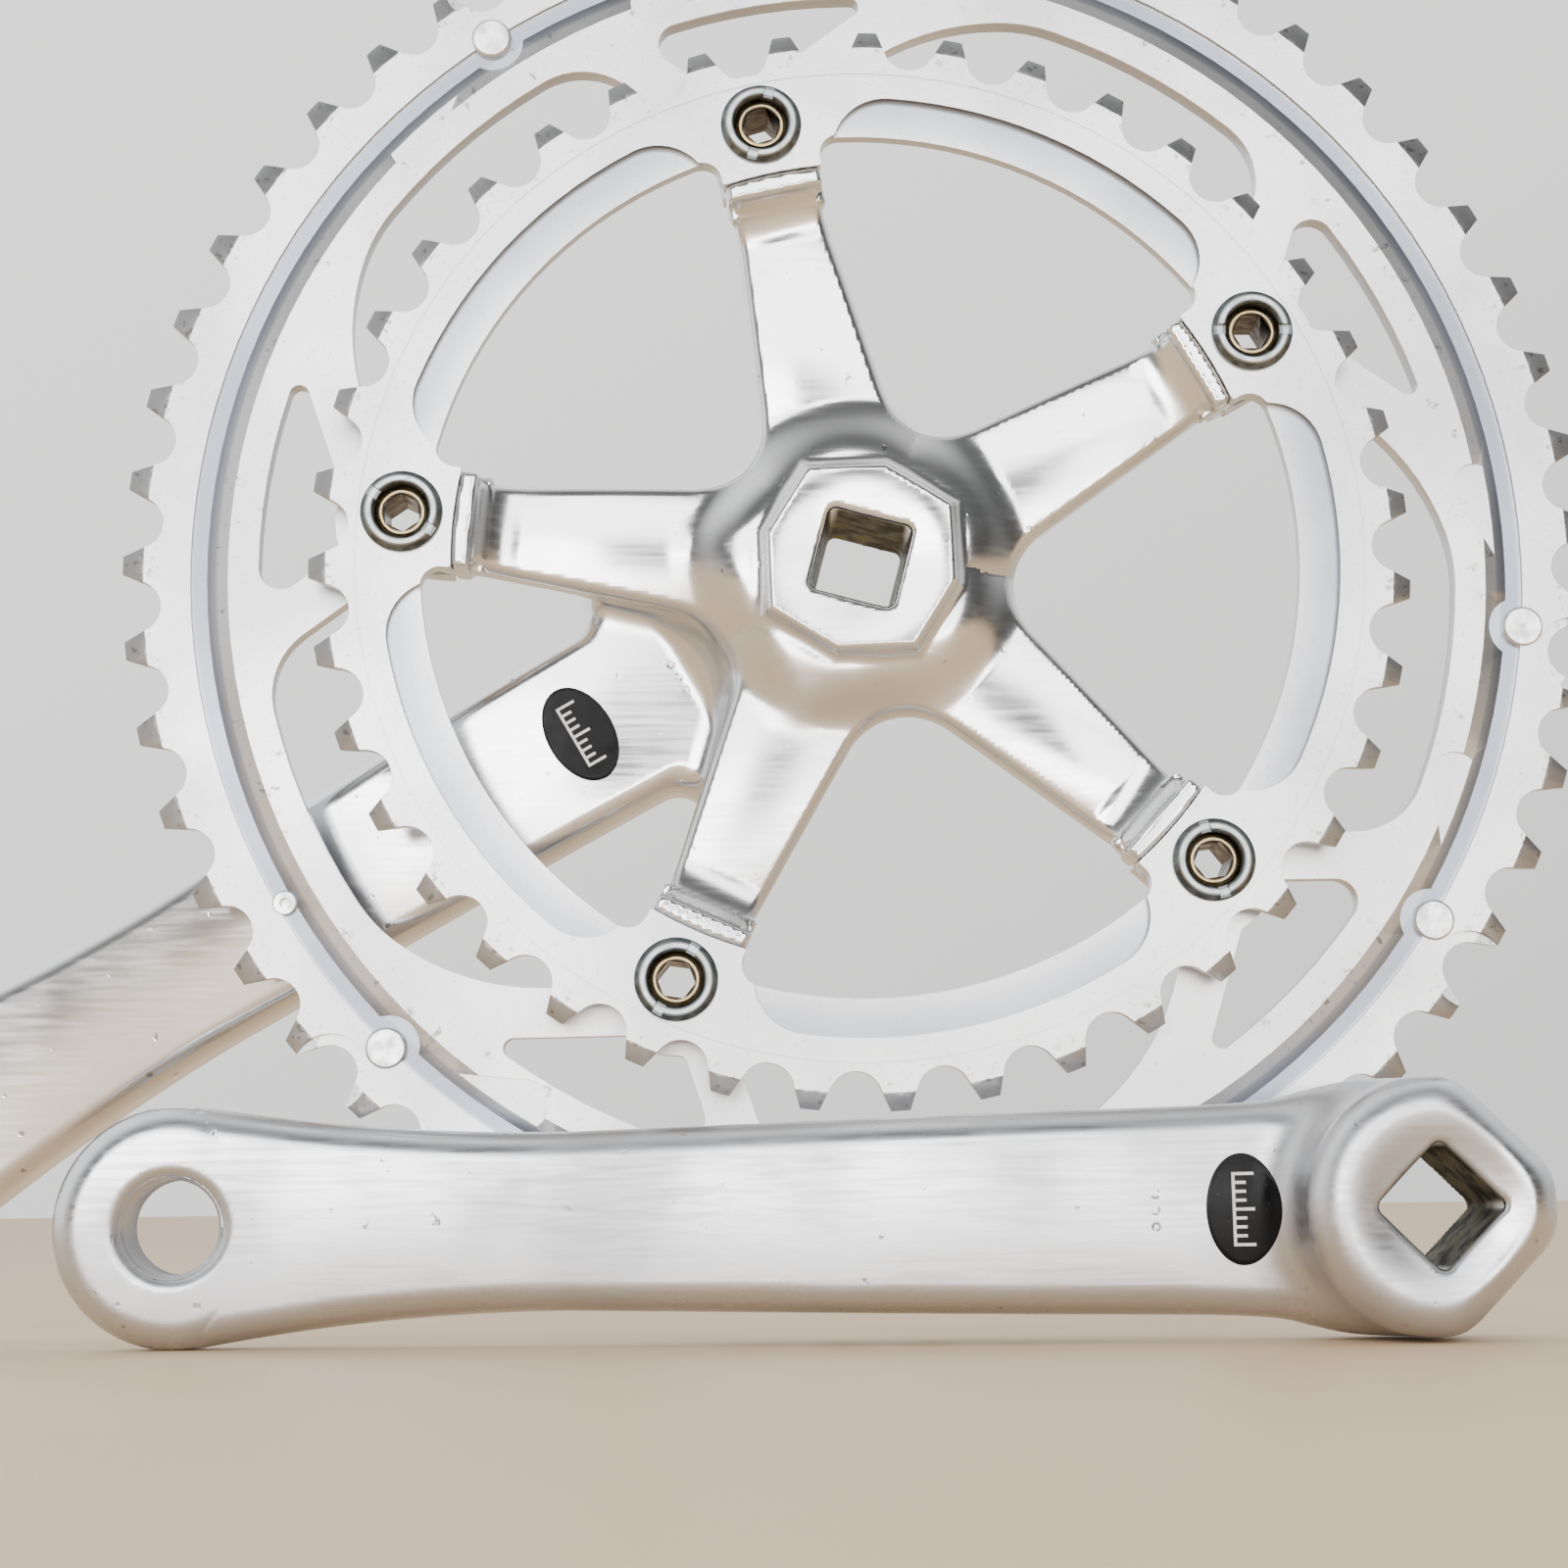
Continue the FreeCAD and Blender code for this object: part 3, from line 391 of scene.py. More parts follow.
def add_object(name, data):
    piece = bpy.data.objects.new(name, data)
    bpy.context.scene.collection.objects.link(piece)
    return piece


def mesh_piece(name, points, faces, smooth=True):
    """A mesh object from points in millimetres."""
    mesh = bpy.data.meshes.new(name)
    mesh.from_pydata((np.asarray(points, dtype=float) * MM).tolist(), [], faces)
    mesh.polygons.foreach_set("use_smooth", [smooth] * len(mesh.polygons))
    mesh.update()
    return add_object(name, mesh)


def helical_thread(name, centre, radius, crest, start, end, pitch):
    """A ridge wound round the inside of a bore; centre is (x, z)."""
    steps = 72
    run_out = 0.3 * steps
    rings = int(((end - start) / pitch - 1.0) * steps) + 1
    points, faces = [], []
    for i in range(rings):
        angle = 2 * math.pi * i / steps
        fade = min(1.0, i / run_out, (rings - 1 - i) / run_out + 0.02)
        y = start + pitch * 0.5 + pitch * i / steps
        section = ((radius + 0.25, -0.48), (radius - 0.02, -0.46),
                   (radius - crest * fade, -0.08), (radius - crest * fade, 0.08),
                   (radius - 0.02, 0.46), (radius + 0.25, 0.48))
        for r, across in section:
            points.append((centre[0] + r * math.cos(angle), y + across * pitch,
                           centre[1] + r * math.sin(angle)))
    wide = len(section)
    for i in range(rings - 1):
        for j in range(wide):
            a, b = i * wide + j, i * wide + (j + 1) % wide
            faces.append((a, b, b + wide, a + wide))
    faces.append(tuple(reversed(range(wide))))
    faces.append(tuple(range((rings - 1) * wide, rings * wide)))
    piece = mesh_piece(name, points, faces, smooth=False)
    fix_winding(piece)
    return piece


def fix_winding(piece):
    """Turns a closed mesh's faces outwards."""
    mesh = bmesh.new()
    mesh.from_mesh(piece.data)
    bmesh.ops.recalc_face_normals(mesh, faces=mesh.faces)
    mesh.to_mesh(piece.data)
    mesh.free()


def surface_depth(shape, x, z):
    """Depth where a line along +Y first meets the shape."""
    steps = np.linspace(-1.0, 30.0, 160)
    value = np.stack([shape(x, np.full_like(x, y), z) for y in steps])
    first = np.argmax(value < 0, axis=0)
    near, far = steps[np.maximum(first - 1, 0)], steps[first]
    for _ in range(24):
        middle = (near + far) * 0.5
        solid = shape(x, middle, z) < 0
        far = np.where(solid, middle, far)
        near = np.where(solid, near, middle)
    return far


class Seat:
    """Flat coordinates on an arm's back: along the arm and across it, laid on the surface."""

    def __init__(self, shape, origin, turn, reach, spin=0.0):
        self.shape, self.origin = shape, origin
        self.turn, self.reach, self.spin = turn, reach, spin

    def lay(self, flat, lift):
        """3-D points in millimetres for flat points, lifted off the surface."""
        along, across = turned(flat[:, 0], flat[:, 1], -self.spin)
        x, z = turned(along + self.reach, across, -self.turn)
        y = surface_depth(self.shape, x, z)
        return np.stack([x, y - lift, z], axis=1) + self.origin


def draped(name, seat, loops, bottom, top):
    """A closed sheet between two lifts, its rim bevelled; outermost loop first."""
    count = len(loops[0])
    centre = np.mean(loops[-1], axis=0)
    flat = np.concatenate(list(loops) + [[centre]])
    upper, lower = seat.lay(flat, top), seat.lay(flat, bottom)
    upper[:count] += (lower[:count] - upper[:count]) * 0.35
    under, last = len(flat), (len(loops) - 1) * count
    sheet, rim = [], []
    for i in range(count):
        j = (i + 1) % count
        for ring in range(0, last, count):
            sheet.append((ring + i, ring + j, ring + count + j, ring + count + i))
        sheet.append((last + i, last + j, under - 1))
        rim.append((i, under + i, under + j, j))
    back = [tuple(under + corner for corner in reversed(face)) for face in sheet]
    piece = mesh_piece(name, np.concatenate([upper, lower]), sheet + back + rim)
    fix_winding(piece)
    return piece


def ellipse(long, wide):
    angle = np.linspace(0, 2 * math.pi, 72, endpoint=False)
    return np.stack([wide * np.cos(angle), long * np.sin(angle)], axis=1)


def stroke(points, half):
    """Both sides of a stroke along points, with mitred turns and square ends."""
    points = np.array(points, float)
    way = np.diff(points, axis=0)
    way /= np.linalg.norm(way, axis=1)[:, None]
    side = np.stack([-way[:, 1], way[:, 0]], axis=1)
    mitre = np.vstack([side[:1], side[:-1] + side[1:], side[-1:]])
    mitre /= np.linalg.norm(mitre, axis=1)[:, None]
    first = np.vstack([side[:1], side])
    scale = half / np.maximum((mitre * first).sum(axis=1), 0.5)
    points[0] -= way[0] * half
    points[-1] += way[-1] * half
    return points + mitre * scale[:, None], points - mitre * scale[:, None]


def stroke_pieces(name, seat, strokes, half, lift, thick):
    """Raised strokes on a surface, each a flat bar with sides."""
    points, faces = [], []
    for line in strokes:
        dense = [line[0]]
        for a, b in zip(line, line[1:]):
            parts = max(1, int(math.dist(a, b) / 0.7))
            dense += [tuple(np.array(a) + (np.array(b) - a) * k / parts)
                      for k in range(1, parts + 1)]
        left, right = stroke(dense, half)
        start, n = len(points), len(dense)
        for flat, up in ((left, lift), (right, lift), (left, lift - thick), (right, lift - thick)):
            points += seat.lay(flat, up).tolist()
        for i in range(n - 1):
            a, b = start + i, start + n + i
            c, d = start + 2 * n + i, start + 3 * n + i
            faces += [(a, a + 1, b + 1, b), (c, d, d + 1, c + 1),
                      (a, c, c + 1, a + 1), (b, b + 1, d + 1, d)]
        for i in (0, n - 1):
            faces.append((start + i, start + n + i, start + 3 * n + i, start + 2 * n + i))
    piece = mesh_piece(name, points, faces, smooth=False)
    fix_winding(piece)
    return piece


def arc(centre, radius, start, end, parts):
    return [(centre[0] + radius * math.cos(math.radians(start + (end - start) * k / parts)),
             centre[1] + radius * math.sin(math.radians(start + (end - start) * k / parts)))
            for k in range(parts + 1)]


# ---------------------------------------------------------------- the two arms

LEFT = mount_mm("left_spindle_socket")
ORIGIN = np.zeros(3)


def crank_piece(name, shape, node, origin, body, pitch):
    """An arm in place of its CAD node."""
    low, high = (np.array(corner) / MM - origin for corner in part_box(node))
    piece = shaped_piece(name, shape, low - 2 * pitch, high + 2 * pitch, origin, pitch)
    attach(piece, body)
    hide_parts(node)
    return piece


right_arm = crank_piece("right_arm", right_shape, "right_crank_arm", ORIGIN,
                        "right_crank", 0.64)
left_arm = crank_piece("left_arm", left_shape, "left_crank_arm", LEFT, "left_crank", 0.55)


# ---------------------------------------------------------------- threads

def eye_thread(side, body, shift):
    """The pedal thread in an arm's eye."""
    place = mount_mm(side + "_pedal_thread")
    piece = helical_thread(side + "_pedal_thread_ridge", (place[0], place[2]), PEDAL_BORE + 0.06,
                           0.62, EYE_BACK + shift + 0.7, EYE_FRONT + shift - 0.7, PEDAL_PITCH)
    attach(piece, body)
    return piece


def boss_thread(side, body, shift):
    """The extractor's thread in a boss's outer mouth."""
    place = mount_mm(side + "_extractor_thread")
    piece = helical_thread(side + "_extractor_thread_ridge", (place[0], place[2]),
                           EXTRACTOR_BORE, 0.5, SOCKET_END + 1.5 + shift,
                           BOSS_END - 0.9 + shift, EXTRACTOR_PITCH)
    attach(piece, body)
    return piece


threads = {"right": [], "left": []}
for make_thread in (eye_thread, boss_thread):
    threads["right"].append(make_thread("right", "right_crank", 0.0))
    threads["left"].append(make_thread("left", "left_crank", LEFT[1]))


# ---------------------------------------------------------------- stickers and punch marks

def tick_scale():
    """A plain scale: a base line with long and short ticks, and no numerals."""
    start, foot = -TICK_STEP * (TICKS - 1) / 2, -1.0
    strokes = [[(start, foot - 0.2), (-start, foot - 0.2)]]
    for k in range(TICKS):
        along, tall = start + TICK_STEP * k, TICK_TALL if k % 4 == 0 else TICK_SHORT
        strokes.append([(along, foot), (along, foot + tall)])
    return strokes


def scale_sticker(side, shape, origin, turn, reach, body):
    """An oval sticker lying across the arm, with a plain tick scale on it."""
    seat = Seat(shape, origin, turn, reach)
    loops = [ellipse(STICKER_LONG * part, STICKER_WIDE * part)
             for part in (1.0, 0.985, *np.arange(0.9, 0.05, -0.09))]
    oval = draped(side + "_sticker", seat, loops, -0.03, 0.11)
    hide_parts(side + "_size_label")
    ticks = stroke_pieces(side + "_sticker_scale", Seat(shape, origin, turn, reach, 90.0),
                          tick_scale(), 0.2, 0.2, 0.15)
    for piece in (oval, ticks):
        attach(piece, body)
    return oval, ticks


def punch_marks(side, shape, origin, turn, reach, body):
    """Three tiny raised rings, as a punch leaves around a dot, in a row across the arm."""
    dots = [arc((0.0, DOT_STEP * k), DOT_RADIUS, 0, 360, 20) for k in (-1, 0, 1)]
    piece = stroke_pieces(side + "_punch_marks", Seat(shape, origin, turn, reach), dots,
                          0.17, 0.15, 0.3)
    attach(piece, body)
    return piece


right_oval, right_scale = scale_sticker("right", right_shape, ORIGIN, RIGHT_TURN, 48.1,
                                        "right_crank")
left_oval, left_scale = scale_sticker("left", left_shape, LEFT, LEFT_TURN, 24.6, "left_crank")
punches = [punch_marks("right", right_shape, ORIGIN, RIGHT_TURN, 31.2, "right_crank"),
           punch_marks("left", left_shape, LEFT, LEFT_TURN, 36.5, "left_crank")]


# ---------------------------------------------------------------- materials

class Finish:
    """A material and short ways to add its nodes."""

    def __init__(self, name, metallic, roughness, colour):
        self.material = bpy.data.materials.new(name)
        self.material.use_nodes = True
        self.tree = self.material.node_tree
        self.shader = self.tree.nodes["Principled BSDF"]
        self.shader.inputs["Metallic"].default_value = metallic
        self.shader.inputs["Roughness"].default_value = roughness
        self.shader.inputs["Base Color"].default_value = (*colour, 1.0)
        self.place = self.node("ShaderNodeTexCoord").outputs["Object"]

    def node(self, kind, **settings):
        node = self.tree.nodes.new(kind)
        for key, value in settings.items():
            setattr(node, key, value)
        return node

    def feed(self, source, socket):
        if hasattr(source, "links"):
            self.tree.links.new(source, socket)
        else:
            socket.default_value = source

    def math(self, operation, a, b=0.0, clamp=False):
        node = self.node("ShaderNodeMath", operation=operation, use_clamp=clamp)
        self.feed(a, node.inputs[0])
        self.feed(b, node.inputs[1])
        return node.outputs[0]

    def scaled(self, scale, source=None, turn=0.0):
        """Coordinates turned about the crank axis, then scaled along each axis."""
        node = self.node("ShaderNodeMapping", vector_type="POINT")
        node.inputs["Rotation"].default_value = (0.0, turn, 0.0)
        node.inputs["Scale"].default_value = scale
        self.feed(source or self.place, node.inputs["Vector"])
        return node.outputs[0]

    def noise(self, scale, detail=3.0, source=None, rough=0.5):
        node = self.node("ShaderNodeTexNoise")
        node.inputs["Scale"].default_value = scale
        node.inputs["Detail"].default_value = detail
        node.inputs["Roughness"].default_value = rough
        self.feed(source or self.place, node.inputs["Vector"])
        return node.outputs["Fac"]

    def spread(self, source, low, high, to_low=0.0, to_high=1.0):
        """A smooth step of source from low to high."""
        node = self.node("ShaderNodeMapRange", interpolation_type="SMOOTHSTEP")
        for socket, value in zip(node.inputs[1:5], (low, high, to_low, to_high)):
            socket.default_value = value
        self.feed(source, node.inputs[0])
        return node.outputs[0]

    def mix(self, factor, a, b):
        node = self.node("ShaderNodeMix", data_type="RGBA")
        self.feed(factor, node.inputs[0])
        self.feed(a if hasattr(a, "links") else (*a, 1.0), node.inputs[6])
        self.feed(b if hasattr(b, "links") else (*b, 1.0), node.inputs[7])
        return node.outputs[2]

    def colour(self, source):
        self.feed(source, self.shader.inputs["Base Color"])

    def roughness(self, source):
        self.feed(source, self.shader.inputs["Roughness"])

    def bump(self, height, distance, strength):
        node = self.node("ShaderNodeBump")
        node.inputs["Strength"].default_value = strength
        node.inputs["Distance"].default_value = distance
        self.feed(height, node.inputs["Height"])
        self.feed(node.outputs[0], self.shader.inputs["Normal"])

    def band(self, source, rise, fall):
        """1 between two smooth steps of source, each (from, to), and 0 elsewhere."""
        return self.math("MULTIPLY", self.spread(source, *rise), self.spread(source, *fall))

    def axes(self):
        """The coordinates' x, y and z, in metres."""
        node = self.node("ShaderNodeSeparateXYZ")
        self.feed(self.place, node.inputs[0])
        return node.outputs

    def reach(self, centre=(0.0, 0.0)):
        """Distance in metres from an axis along Y through centre (x, z)."""
        x, _, z = self.axes()
        x, z = self.math("SUBTRACT", x, centre[0]), self.math("SUBTRACT", z, centre[1])
        squares = self.math("ADD", self.math("MULTIPLY", x, x), self.math("MULTIPLY", z, z))
        return self.math("SQRT", squares)

    def turn_about(self):
        """Angle about the crank axis, in radians."""
        x, _, z = self.axes()
        return self.math("ARCTAN2", z, x)

    def depth(self):
        return self.axes()[1]

    def wear(self, *pieces):
        for piece in pieces:
            piece.data.materials.clear()
            piece.data.materials.append(self.material)


def arm_finish(name, boss, turn, polish, grain, shade):
    """Forged aluminium: smeared polish, fine grain along the arm, pits, and a socket that is
    darker and rougher deep inside, in patches.
    """
    finish = Finish(name, 1.0, polish, shade)
    smear = finish.noise(38.0, 4.0)
    along = finish.scaled((60.0, 900.0, 1500.0), turn=math.radians(turn))
    lines = finish.noise(1.0, 3.0, along)
    pits = finish.noise(420.0, 2.0)
    pit = finish.spread(pits, 0.70, 0.76)
    rough = finish.math("ADD", finish.spread(smear, 0.35, 0.7, polish * 0.8, polish * 1.5),
                        finish.spread(lines, 0.3, 0.8, 0.0, grain))
    # Deep in the square socket the colour turns near-black with paler patches, and the surface
    # turns rougher.
    deep_socket = finish.spread(finish.reach((boss[0] * MM, boss[2] * MM)), 0.0085, 0.0078)
    deep = finish.spread(finish.depth(), (boss[1] + 0.9) * MM, (boss[1] + 2.2) * MM)
    patch = finish.noise(330.0, 5.0)
    deep_socket = finish.math("MULTIPLY", deep_socket, deep)
    clean = finish.mix(pit, shade, tuple(0.5 * part for part in shade))
    clean = finish.mix(finish.spread(smear, 0.45, 0.7, 0.0, 0.8), clean,
                       tuple(0.86 * part for part in shade))
    # The colour deep in the socket: near-black, with paler and yellowish patches.
    dirt = finish.mix(finish.spread(patch, 0.38, 0.6), (0.035, 0.035, 0.025), (0.20, 0.19, 0.15))
    dirt = finish.mix(finish.spread(patch, 0.60, 0.68), dirt, (0.20, 0.19, 0.03))
    finish.colour(finish.mix(deep_socket, clean, dirt))
    finish.roughness(finish.math("ADD", rough, finish.math("MULTIPLY", deep_socket, 0.4)))
    height = finish.math("SUBTRACT", finish.math("MULTIPLY", lines, grain),
                         finish.math("MULTIPLY", pit, 0.6))
    height = finish.math("ADD", height, finish.math("MULTIPLY", smear, 0.6))
    finish.bump(height, 0.00006, 0.6)
    return finish


arm_finish("polished_forging", ORIGIN, RIGHT_TURN, 0.13, 0.07, (0.83, 0.835, 0.85)).wear(
    right_arm, *threads["right"])
arm_finish("satin_forging", LEFT, 180.0, 0.25, 0.12, (0.66, 0.67, 0.70)).wear(
    left_arm, *threads["left"])


def chain_marks(finish, reach, low, high):
    """Streaks around the ring, between two radii, where the chain rubs."""
    polar = finish.node("ShaderNodeCombineXYZ")
    finish.feed(finish.math("MULTIPLY", finish.turn_about(), 34.0), polar.inputs[0])
    finish.feed(finish.math("MULTIPLY", reach, 230.0), polar.inputs[1])
    streaks = finish.spread(finish.noise(1.0, 6.0, polar.outputs[0], 0.62), 0.60, 0.70)
    band = finish.band(reach, (low, low + 0.002), (high, high - 0.001))
    return finish.math("MULTIPLY", streaks, band)


def bevel_shade_and_nicks(finish, reach, edge):
    """Painted shade on the tooth bevel outside the edge's radius, and the nicks just inside it."""
    ragged = finish.math("ADD", reach, finish.math("MULTIPLY", finish.noise(700.0, 4.0), 0.0016))
    nicks = finish.math("MULTIPLY", finish.spread(finish.noise(900.0, 3.0), 0.60, 0.68),
                        finish.spread(reach, edge - 0.0045, edge - 0.0005))
    return finish.spread(ragged, edge, edge + 0.0003), nicks


def ring_shade(finish, reach, cove, ledge):
    """Painted shade on the groove between the cove's radii, and on the sunk ledge at the ring's
    inside.
    """
    groove = finish.band(reach, (cove[0], cove[0] + 0.0004), (cove[1], cove[1] - 0.0004))
    level, inside, outside = ledge
    sunk = finish.math("MULTIPLY", finish.spread(finish.depth(), level, level + 0.0002),
                       finish.band(reach, (inside, outside), (outside + 0.004, outside + 0.003)))
    return groove, sunk


def ring_finish(name, tip, bevel, scuffed, cove, ledge):
    """Blasted aluminium: fine grain, chain marks on a band, nicks at the teeth, and painted shade
    on the tooth bevels, the groove and the sunk ledge.
    """
    finish = Finish(name, 1.0, 0.42, (0.84, 0.84, 0.84))
    reach = finish.reach()
    cloud = finish.noise(26.0, 4.0)
    marks = chain_marks(finish, reach, *scuffed)
    # Painted shade on the tooth bevel, with a ragged edge, and nicks just inside that edge.
    bevel_shade, nicks = bevel_shade_and_nicks(finish, reach, (tip - bevel) * MM + 0.0008)
    speckle = finish.spread(finish.noise(1300.0, 2.0), 0.62, 0.72)
    # Painted shade, blue-grey, on the groove and on the sunk ledge.
    groove, sunk = ring_shade(finish, reach, cove, ledge)
    colour = finish.mix(finish.spread(cloud, 0.35, 0.75, 0.0, 0.5),
                        (0.76, 0.76, 0.765), (0.66, 0.67, 0.70))
    for cover, amount, shade in ((marks, 0.8, (0.20, 0.20, 0.21)),
                                 (bevel_shade, 1.0, (0.42, 0.425, 0.44)),
                                 (nicks, 0.7, (0.16, 0.155, 0.14)),
                                 (speckle, 0.35, (0.36, 0.36, 0.37)),
                                 (groove, 0.8, (0.27, 0.30, 0.36)),
                                 (sunk, 0.75, (0.30, 0.33, 0.40))):
        colour = finish.mix(finish.math("MULTIPLY", cover, amount), colour, shade)
    finish.colour(colour)
    finish.roughness(finish.spread(cloud, 0.3, 0.7, 0.30, 0.42))
    height = finish.math("SUBTRACT", finish.noise(2600.0, 2.0),
                         finish.math("MULTIPLY", marks, 1.5))
    finish.bump(height, 0.00003, 0.5)
    return finish


ring_finish("blasted_outer_ring", 109.0, 3.2, (0.088, 0.0975), (0.0957, 0.0989),
            (0.0074, 0.080, 0.0950)).wear(nodes["outer_chainring"])
ring_finish("blasted_inner_ring", 80.75, 2.6, (0.079, 0.0805), (0.0736, 0.074),
            (0.0009, 0.0620, 0.0700)).wear(nodes["inner_chainring"])


def fastener(kind, index):
    """A chainring nut's or bolt's node, and its axis (x, z) in metres."""
    name = "chainring_%s_%d" % (kind, index)
    low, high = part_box(name)
    return nodes[name], ((low.x + high.x) / 2, (low.z + high.z) / 2)


def nut_finish(index):
    """Dull, stained zinc, with a painted highlight on the flange's slotted ring."""
    node, centre = fastener("nut", index)
    finish = Finish("zinc_nut_%d" % index, 1.0, 0.34, (0.36, 0.38, 0.39))
    stain = finish.noise(600.0, 4.0)
    # Painted highlight: the flange's flat slotted ring is painted brighter.
    ring_highlight = finish.band(finish.reach(centre), (0.0044, 0.0046), (0.0054, 0.0052))
    colour = finish.mix(finish.spread(stain, 0.35, 0.7), (0.09, 0.10, 0.105), (0.19, 0.21, 0.215))
    finish.colour(finish.mix(ring_highlight, colour, (0.42, 0.45, 0.46)))
    finish.roughness(finish.spread(stain, 0.3, 0.7, 0.26, 0.46))
    finish.bump(finish.noise(1500.0, 2.0), 0.00002, 0.4)
    finish.wear(node)


def brass_finish(index):
    """Tarnished brass, with painted shade nearly black down the bore."""
    node, centre = fastener("bolt", index)
    finish = Finish("brass_bolt_%d" % index, 1.0, 0.3, (0.42, 0.34, 0.2))
    stain = finish.noise(500.0, 4.0)
    colour = finish.mix(finish.spread(stain, 0.35, 0.65), (0.40, 0.30, 0.15), (0.50, 0.42, 0.28))
    # Painted shade: the bore is painted nearly black.
    bore = finish.spread(finish.reach(centre), 0.0031, 0.0028)
    finish.colour(finish.mix(bore, colour, (0.030, 0.020, 0.012)))
    finish.roughness(finish.spread(stain, 0.3, 0.7, 0.22, 0.45))
    finish.bump(finish.noise(1600.0, 2.0), 0.00002, 0.4)
    finish.wear(node)


def pin_finish():
    """Steel pins with light scuffs."""
    finish = Finish("turned_steel", 1.0, 0.3, (0.78, 0.78, 0.79))
    scuff = finish.noise(500.0, 4.0)
    finish.colour(finish.mix(finish.spread(scuff, 0.4, 0.75), (0.84, 0.84, 0.84),
                             (0.62, 0.62, 0.63)))
    finish.roughness(finish.spread(scuff, 0.3, 0.7, 0.24, 0.42))
    finish.bump(finish.noise(1800.0, 2.0), 0.00002, 0.4)
    return finish


def sticker_finish():
    """Glossy black film with dust and fine scratches."""
    finish = Finish("black_film", 0.0, 0.22, (0.005, 0.005, 0.006))
    finish.shader.inputs["Specular IOR Level"].default_value = 0.12
    dust = finish.spread(finish.noise(2200.0, 3.0), 0.70, 0.78)
    finish.colour(finish.mix(dust, (0.005, 0.005, 0.006), (0.10, 0.10, 0.10)))
    finish.roughness(finish.spread(finish.noise(240.0, 4.0), 0.3, 0.7, 0.18, 0.34))
    finish.bump(finish.noise(300.0, 2.0), 0.00004, 0.3)
    return finish


def print_finish():
    """Pale silver print."""
    finish = Finish("silver_print", 0.0, 0.4, (0.78, 0.78, 0.78))
    fade = finish.noise(900.0, 3.0)
    finish.colour(finish.mix(finish.spread(fade, 0.55, 0.75), (0.84, 0.84, 0.84),
                             (0.62, 0.62, 0.62)))
    finish.roughness(finish.spread(fade, 0.3, 0.7, 0.32, 0.48))
    return finish


def punch_finish():
    """Struck metal with specks of dirt."""
    finish = Finish("struck_metal", 1.0, 0.3, (0.62, 0.62, 0.62))
    dirt = finish.noise(1400.0, 3.0)
    finish.colour(finish.mix(finish.spread(dirt, 0.42, 0.58), (0.62, 0.62, 0.63),
                             (0.22, 0.22, 0.23)))
    finish.roughness(finish.spread(dirt, 0.3, 0.7, 0.2, 0.5))
    return finish


punch_finish().wear(*punches)
for index in range(1, 6):
    nut_finish(index)
    brass_finish(index)
pin_finish().wear(*[nodes["shift_pin_%d" % i] for i in range(1, 5)], nodes["chain_drop_pin"])
sticker_finish().wear(right_oval, left_oval)
print_finish().wear(right_scale, left_scale)


# ---------------------------------------------------------------- edges of the CAD pieces

def soften(piece, width):
    """A small rounding on a CAD piece's crisp edges."""
    weld = piece.modifiers.new("weld", "WELD")
    weld.merge_threshold = 0.002 * MM
    bevel = piece.modifiers.new("edges", "BEVEL")
    bevel.width = width * MM
    bevel.segments = 2
    bevel.limit_method = "ANGLE"
    bevel.angle_limit = math.radians(28)
    bevel.harden_normals = False
    bevel.use_clamp_overlap = True


for piece in [nodes[n] for n in nodes if "chainring" in n or "pin" in n]:
    soften(piece, 0.22 if piece.name.endswith("_chainring") else 0.12)


# ---------------------------------------------------------------- floor, lights, camera

def build_floor():
    """A plain pale floor at the lowest point."""
    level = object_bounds()[0][2]
    bpy.ops.mesh.primitive_plane_add(size=20.0, location=(0.0, 0.0, level))
    floor = bpy.context.object
    floor.name = "floor"
    finish = Finish("pale_floor", 0.0, 0.55, (0.68, 0.49, 0.30))
    finish.colour(finish.mix(finish.noise(9.0, 4.0), (0.70, 0.51, 0.32), (0.66, 0.47, 0.285)))
    finish.wear(floor)


def softbox(name, place, target, wide, high, watts):
    """A rectangular lamp at place, facing target."""
    light = bpy.data.lights.new(name, "AREA")
    light.shape = "RECTANGLE"
    light.size, light.size_y = wide, high
    light.energy = watts
    lamp = add_object(name, light)
    lamp.location = place
    lamp.rotation_euler = (Vector(target) - Vector(place)).to_track_quat("-Z", "Y").to_euler()


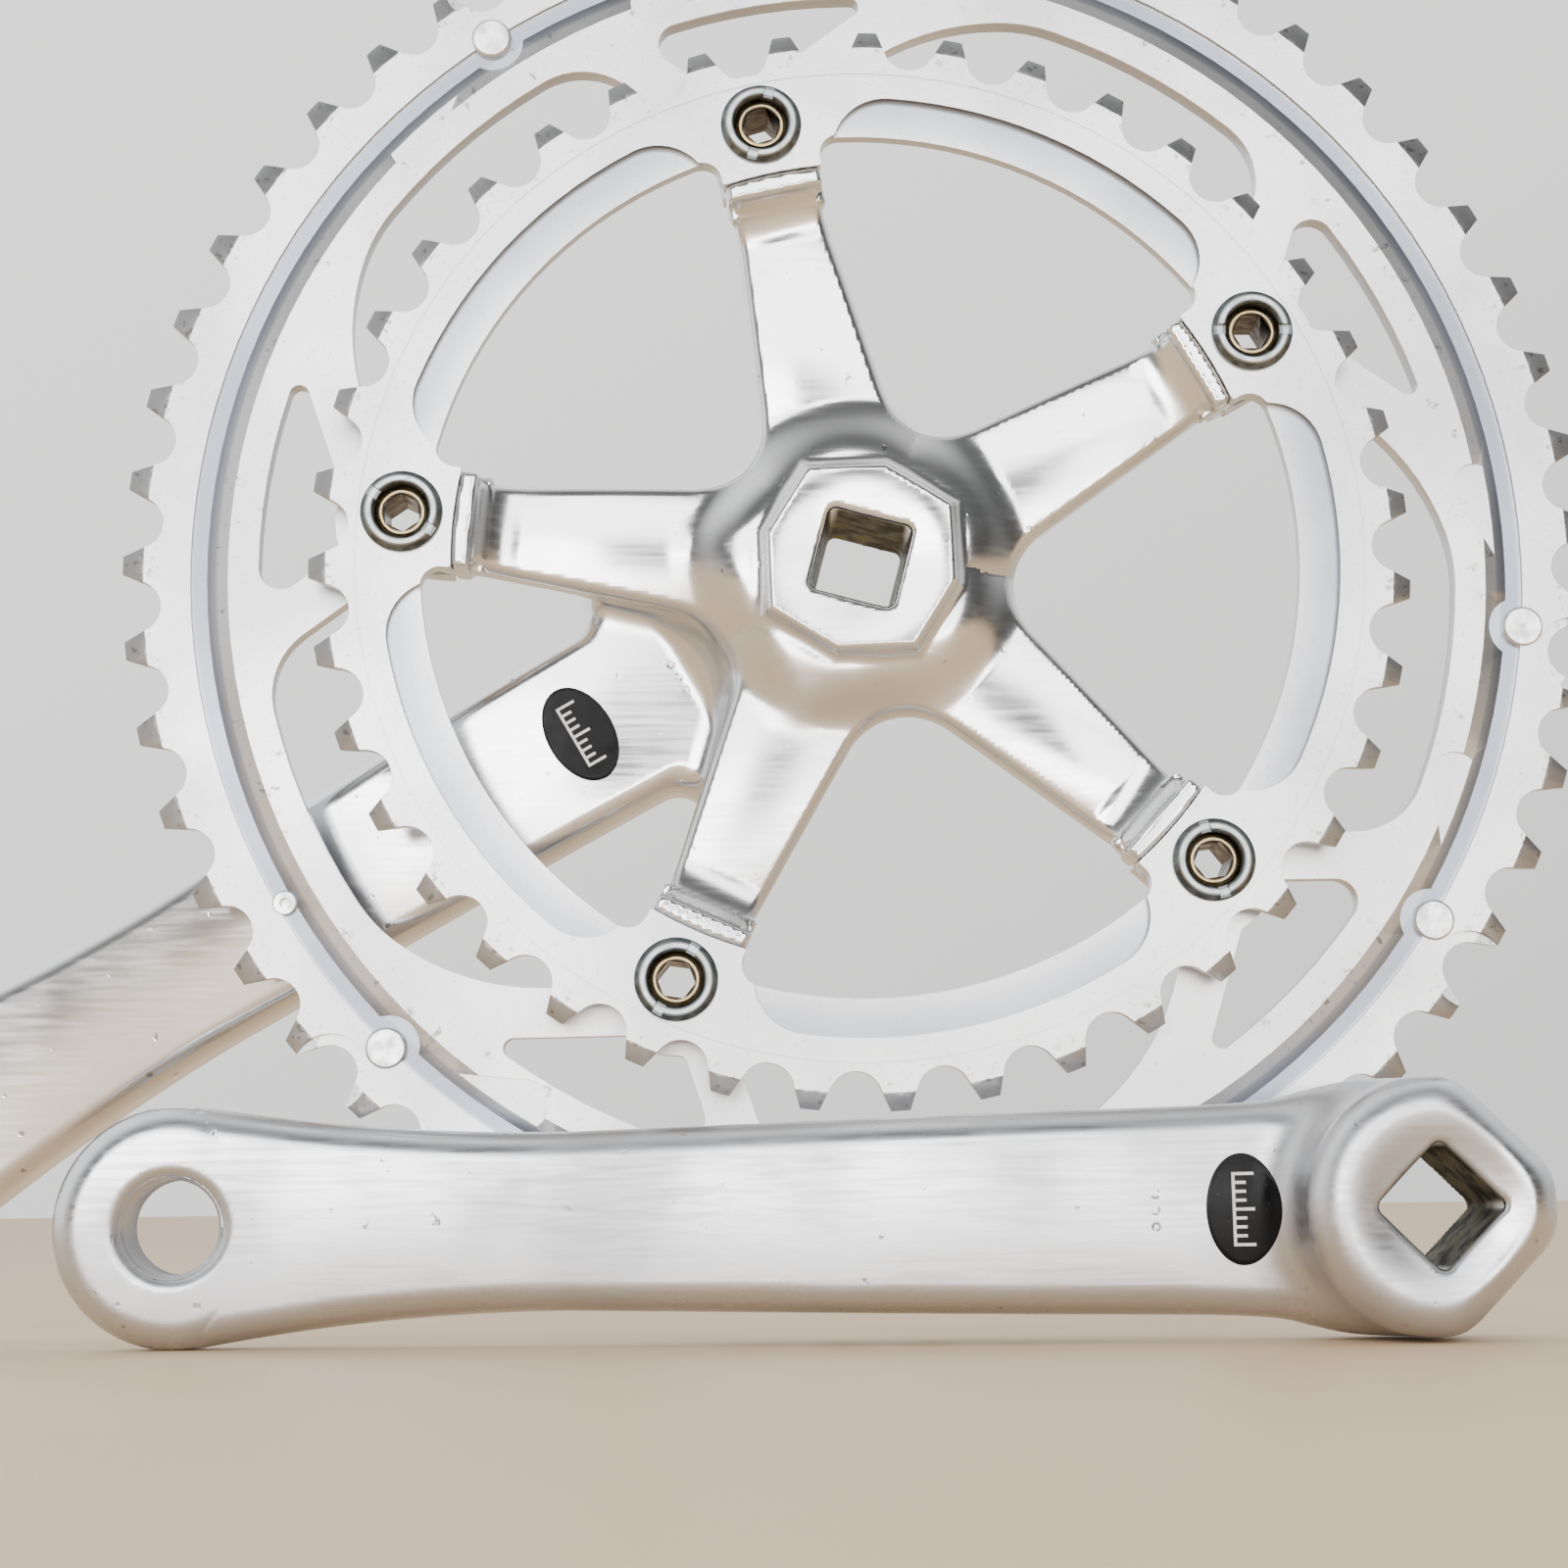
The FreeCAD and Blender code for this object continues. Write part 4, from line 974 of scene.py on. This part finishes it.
def build_world():
    """Soft grey light, brighter overhead and dim in the middle of the room's near side."""
    world = bpy.data.worlds.new("studio")
    world.use_nodes = True
    tree = world.node_tree
    place = tree.nodes.new("ShaderNodeTexCoord")
    both = tree.nodes.new("ShaderNodeMath")
    both.operation = "MULTIPLY"
    overhead = ((-0.5, 0.0, 0.866), (-0.9, 0.8), (0.55, 1.8))
    near_side = ((0.15, -0.97, 0.2), (0.1, 0.75), (1.0, 0.10))
    for socket, (way, facing, strength) in zip(both.inputs, (overhead, near_side)):
        dot = tree.nodes.new("ShaderNodeVectorMath")
        dot.operation = "DOT_PRODUCT"
        dot.inputs[1].default_value = way
        tree.links.new(place.outputs["Generated"], dot.inputs[0])
        ramp = tree.nodes.new("ShaderNodeMapRange")
        ramp.interpolation_type = "SMOOTHSTEP"
        for limit, value in zip(ramp.inputs[1:5], facing + strength):
            limit.default_value = value
        tree.links.new(dot.outputs["Value"], ramp.inputs[0])
        tree.links.new(ramp.outputs[0], socket)
    background = tree.nodes["Background"]
    tree.links.new(both.outputs[0], background.inputs["Strength"])
    background.inputs["Color"].default_value = (0.97, 0.975, 0.96, 1.0)
    bpy.context.scene.world = world


def build_camera():
    """The viewing angle, from below the crank axis and looking a little up."""
    data = bpy.data.cameras.new("camera")
    data.lens = 65.25
    data.sensor_width = 36.0
    camera = add_object("camera", data)
    right, up = Vector((0.99972, -0.02093, -0.01133)), Vector((0.00814, -0.14647, 0.98918))
    facing = Matrix((right, up, right.cross(up))).transposed()
    camera.matrix_world = Matrix.Translation((-0.0209, -0.4053, -0.0936)) @ facing.to_4x4()
    bpy.context.scene.camera = camera


def build_key():
    """A broad bank of softboxes behind the camera, with a gap where a camera would stand."""
    middle = Vector((0.05, -1.48, 0.20))
    back = middle.normalized()
    right = Vector((0, 0, 1)).cross(back).normalized()
    up = back.cross(right)
    panels = {"top": (-0.1, 0.40, 1.5, 0.46, 5.5), "bottom": (0.0, -0.30, 1.3, 0.30, 9.0),
              "left": (-0.50, 0.0, 0.62, 0.30, 10.0), "right": (0.46, 0.0, 0.52, 0.30, 5.0)}
    for name, (across, above, wide, high, glow) in panels.items():
        place = middle + right * across + up * above
        softbox("key_" + name, place, place - back, wide, high, glow * math.pi * wide * high)


build_floor()
build_world()
build_key()
build_camera()
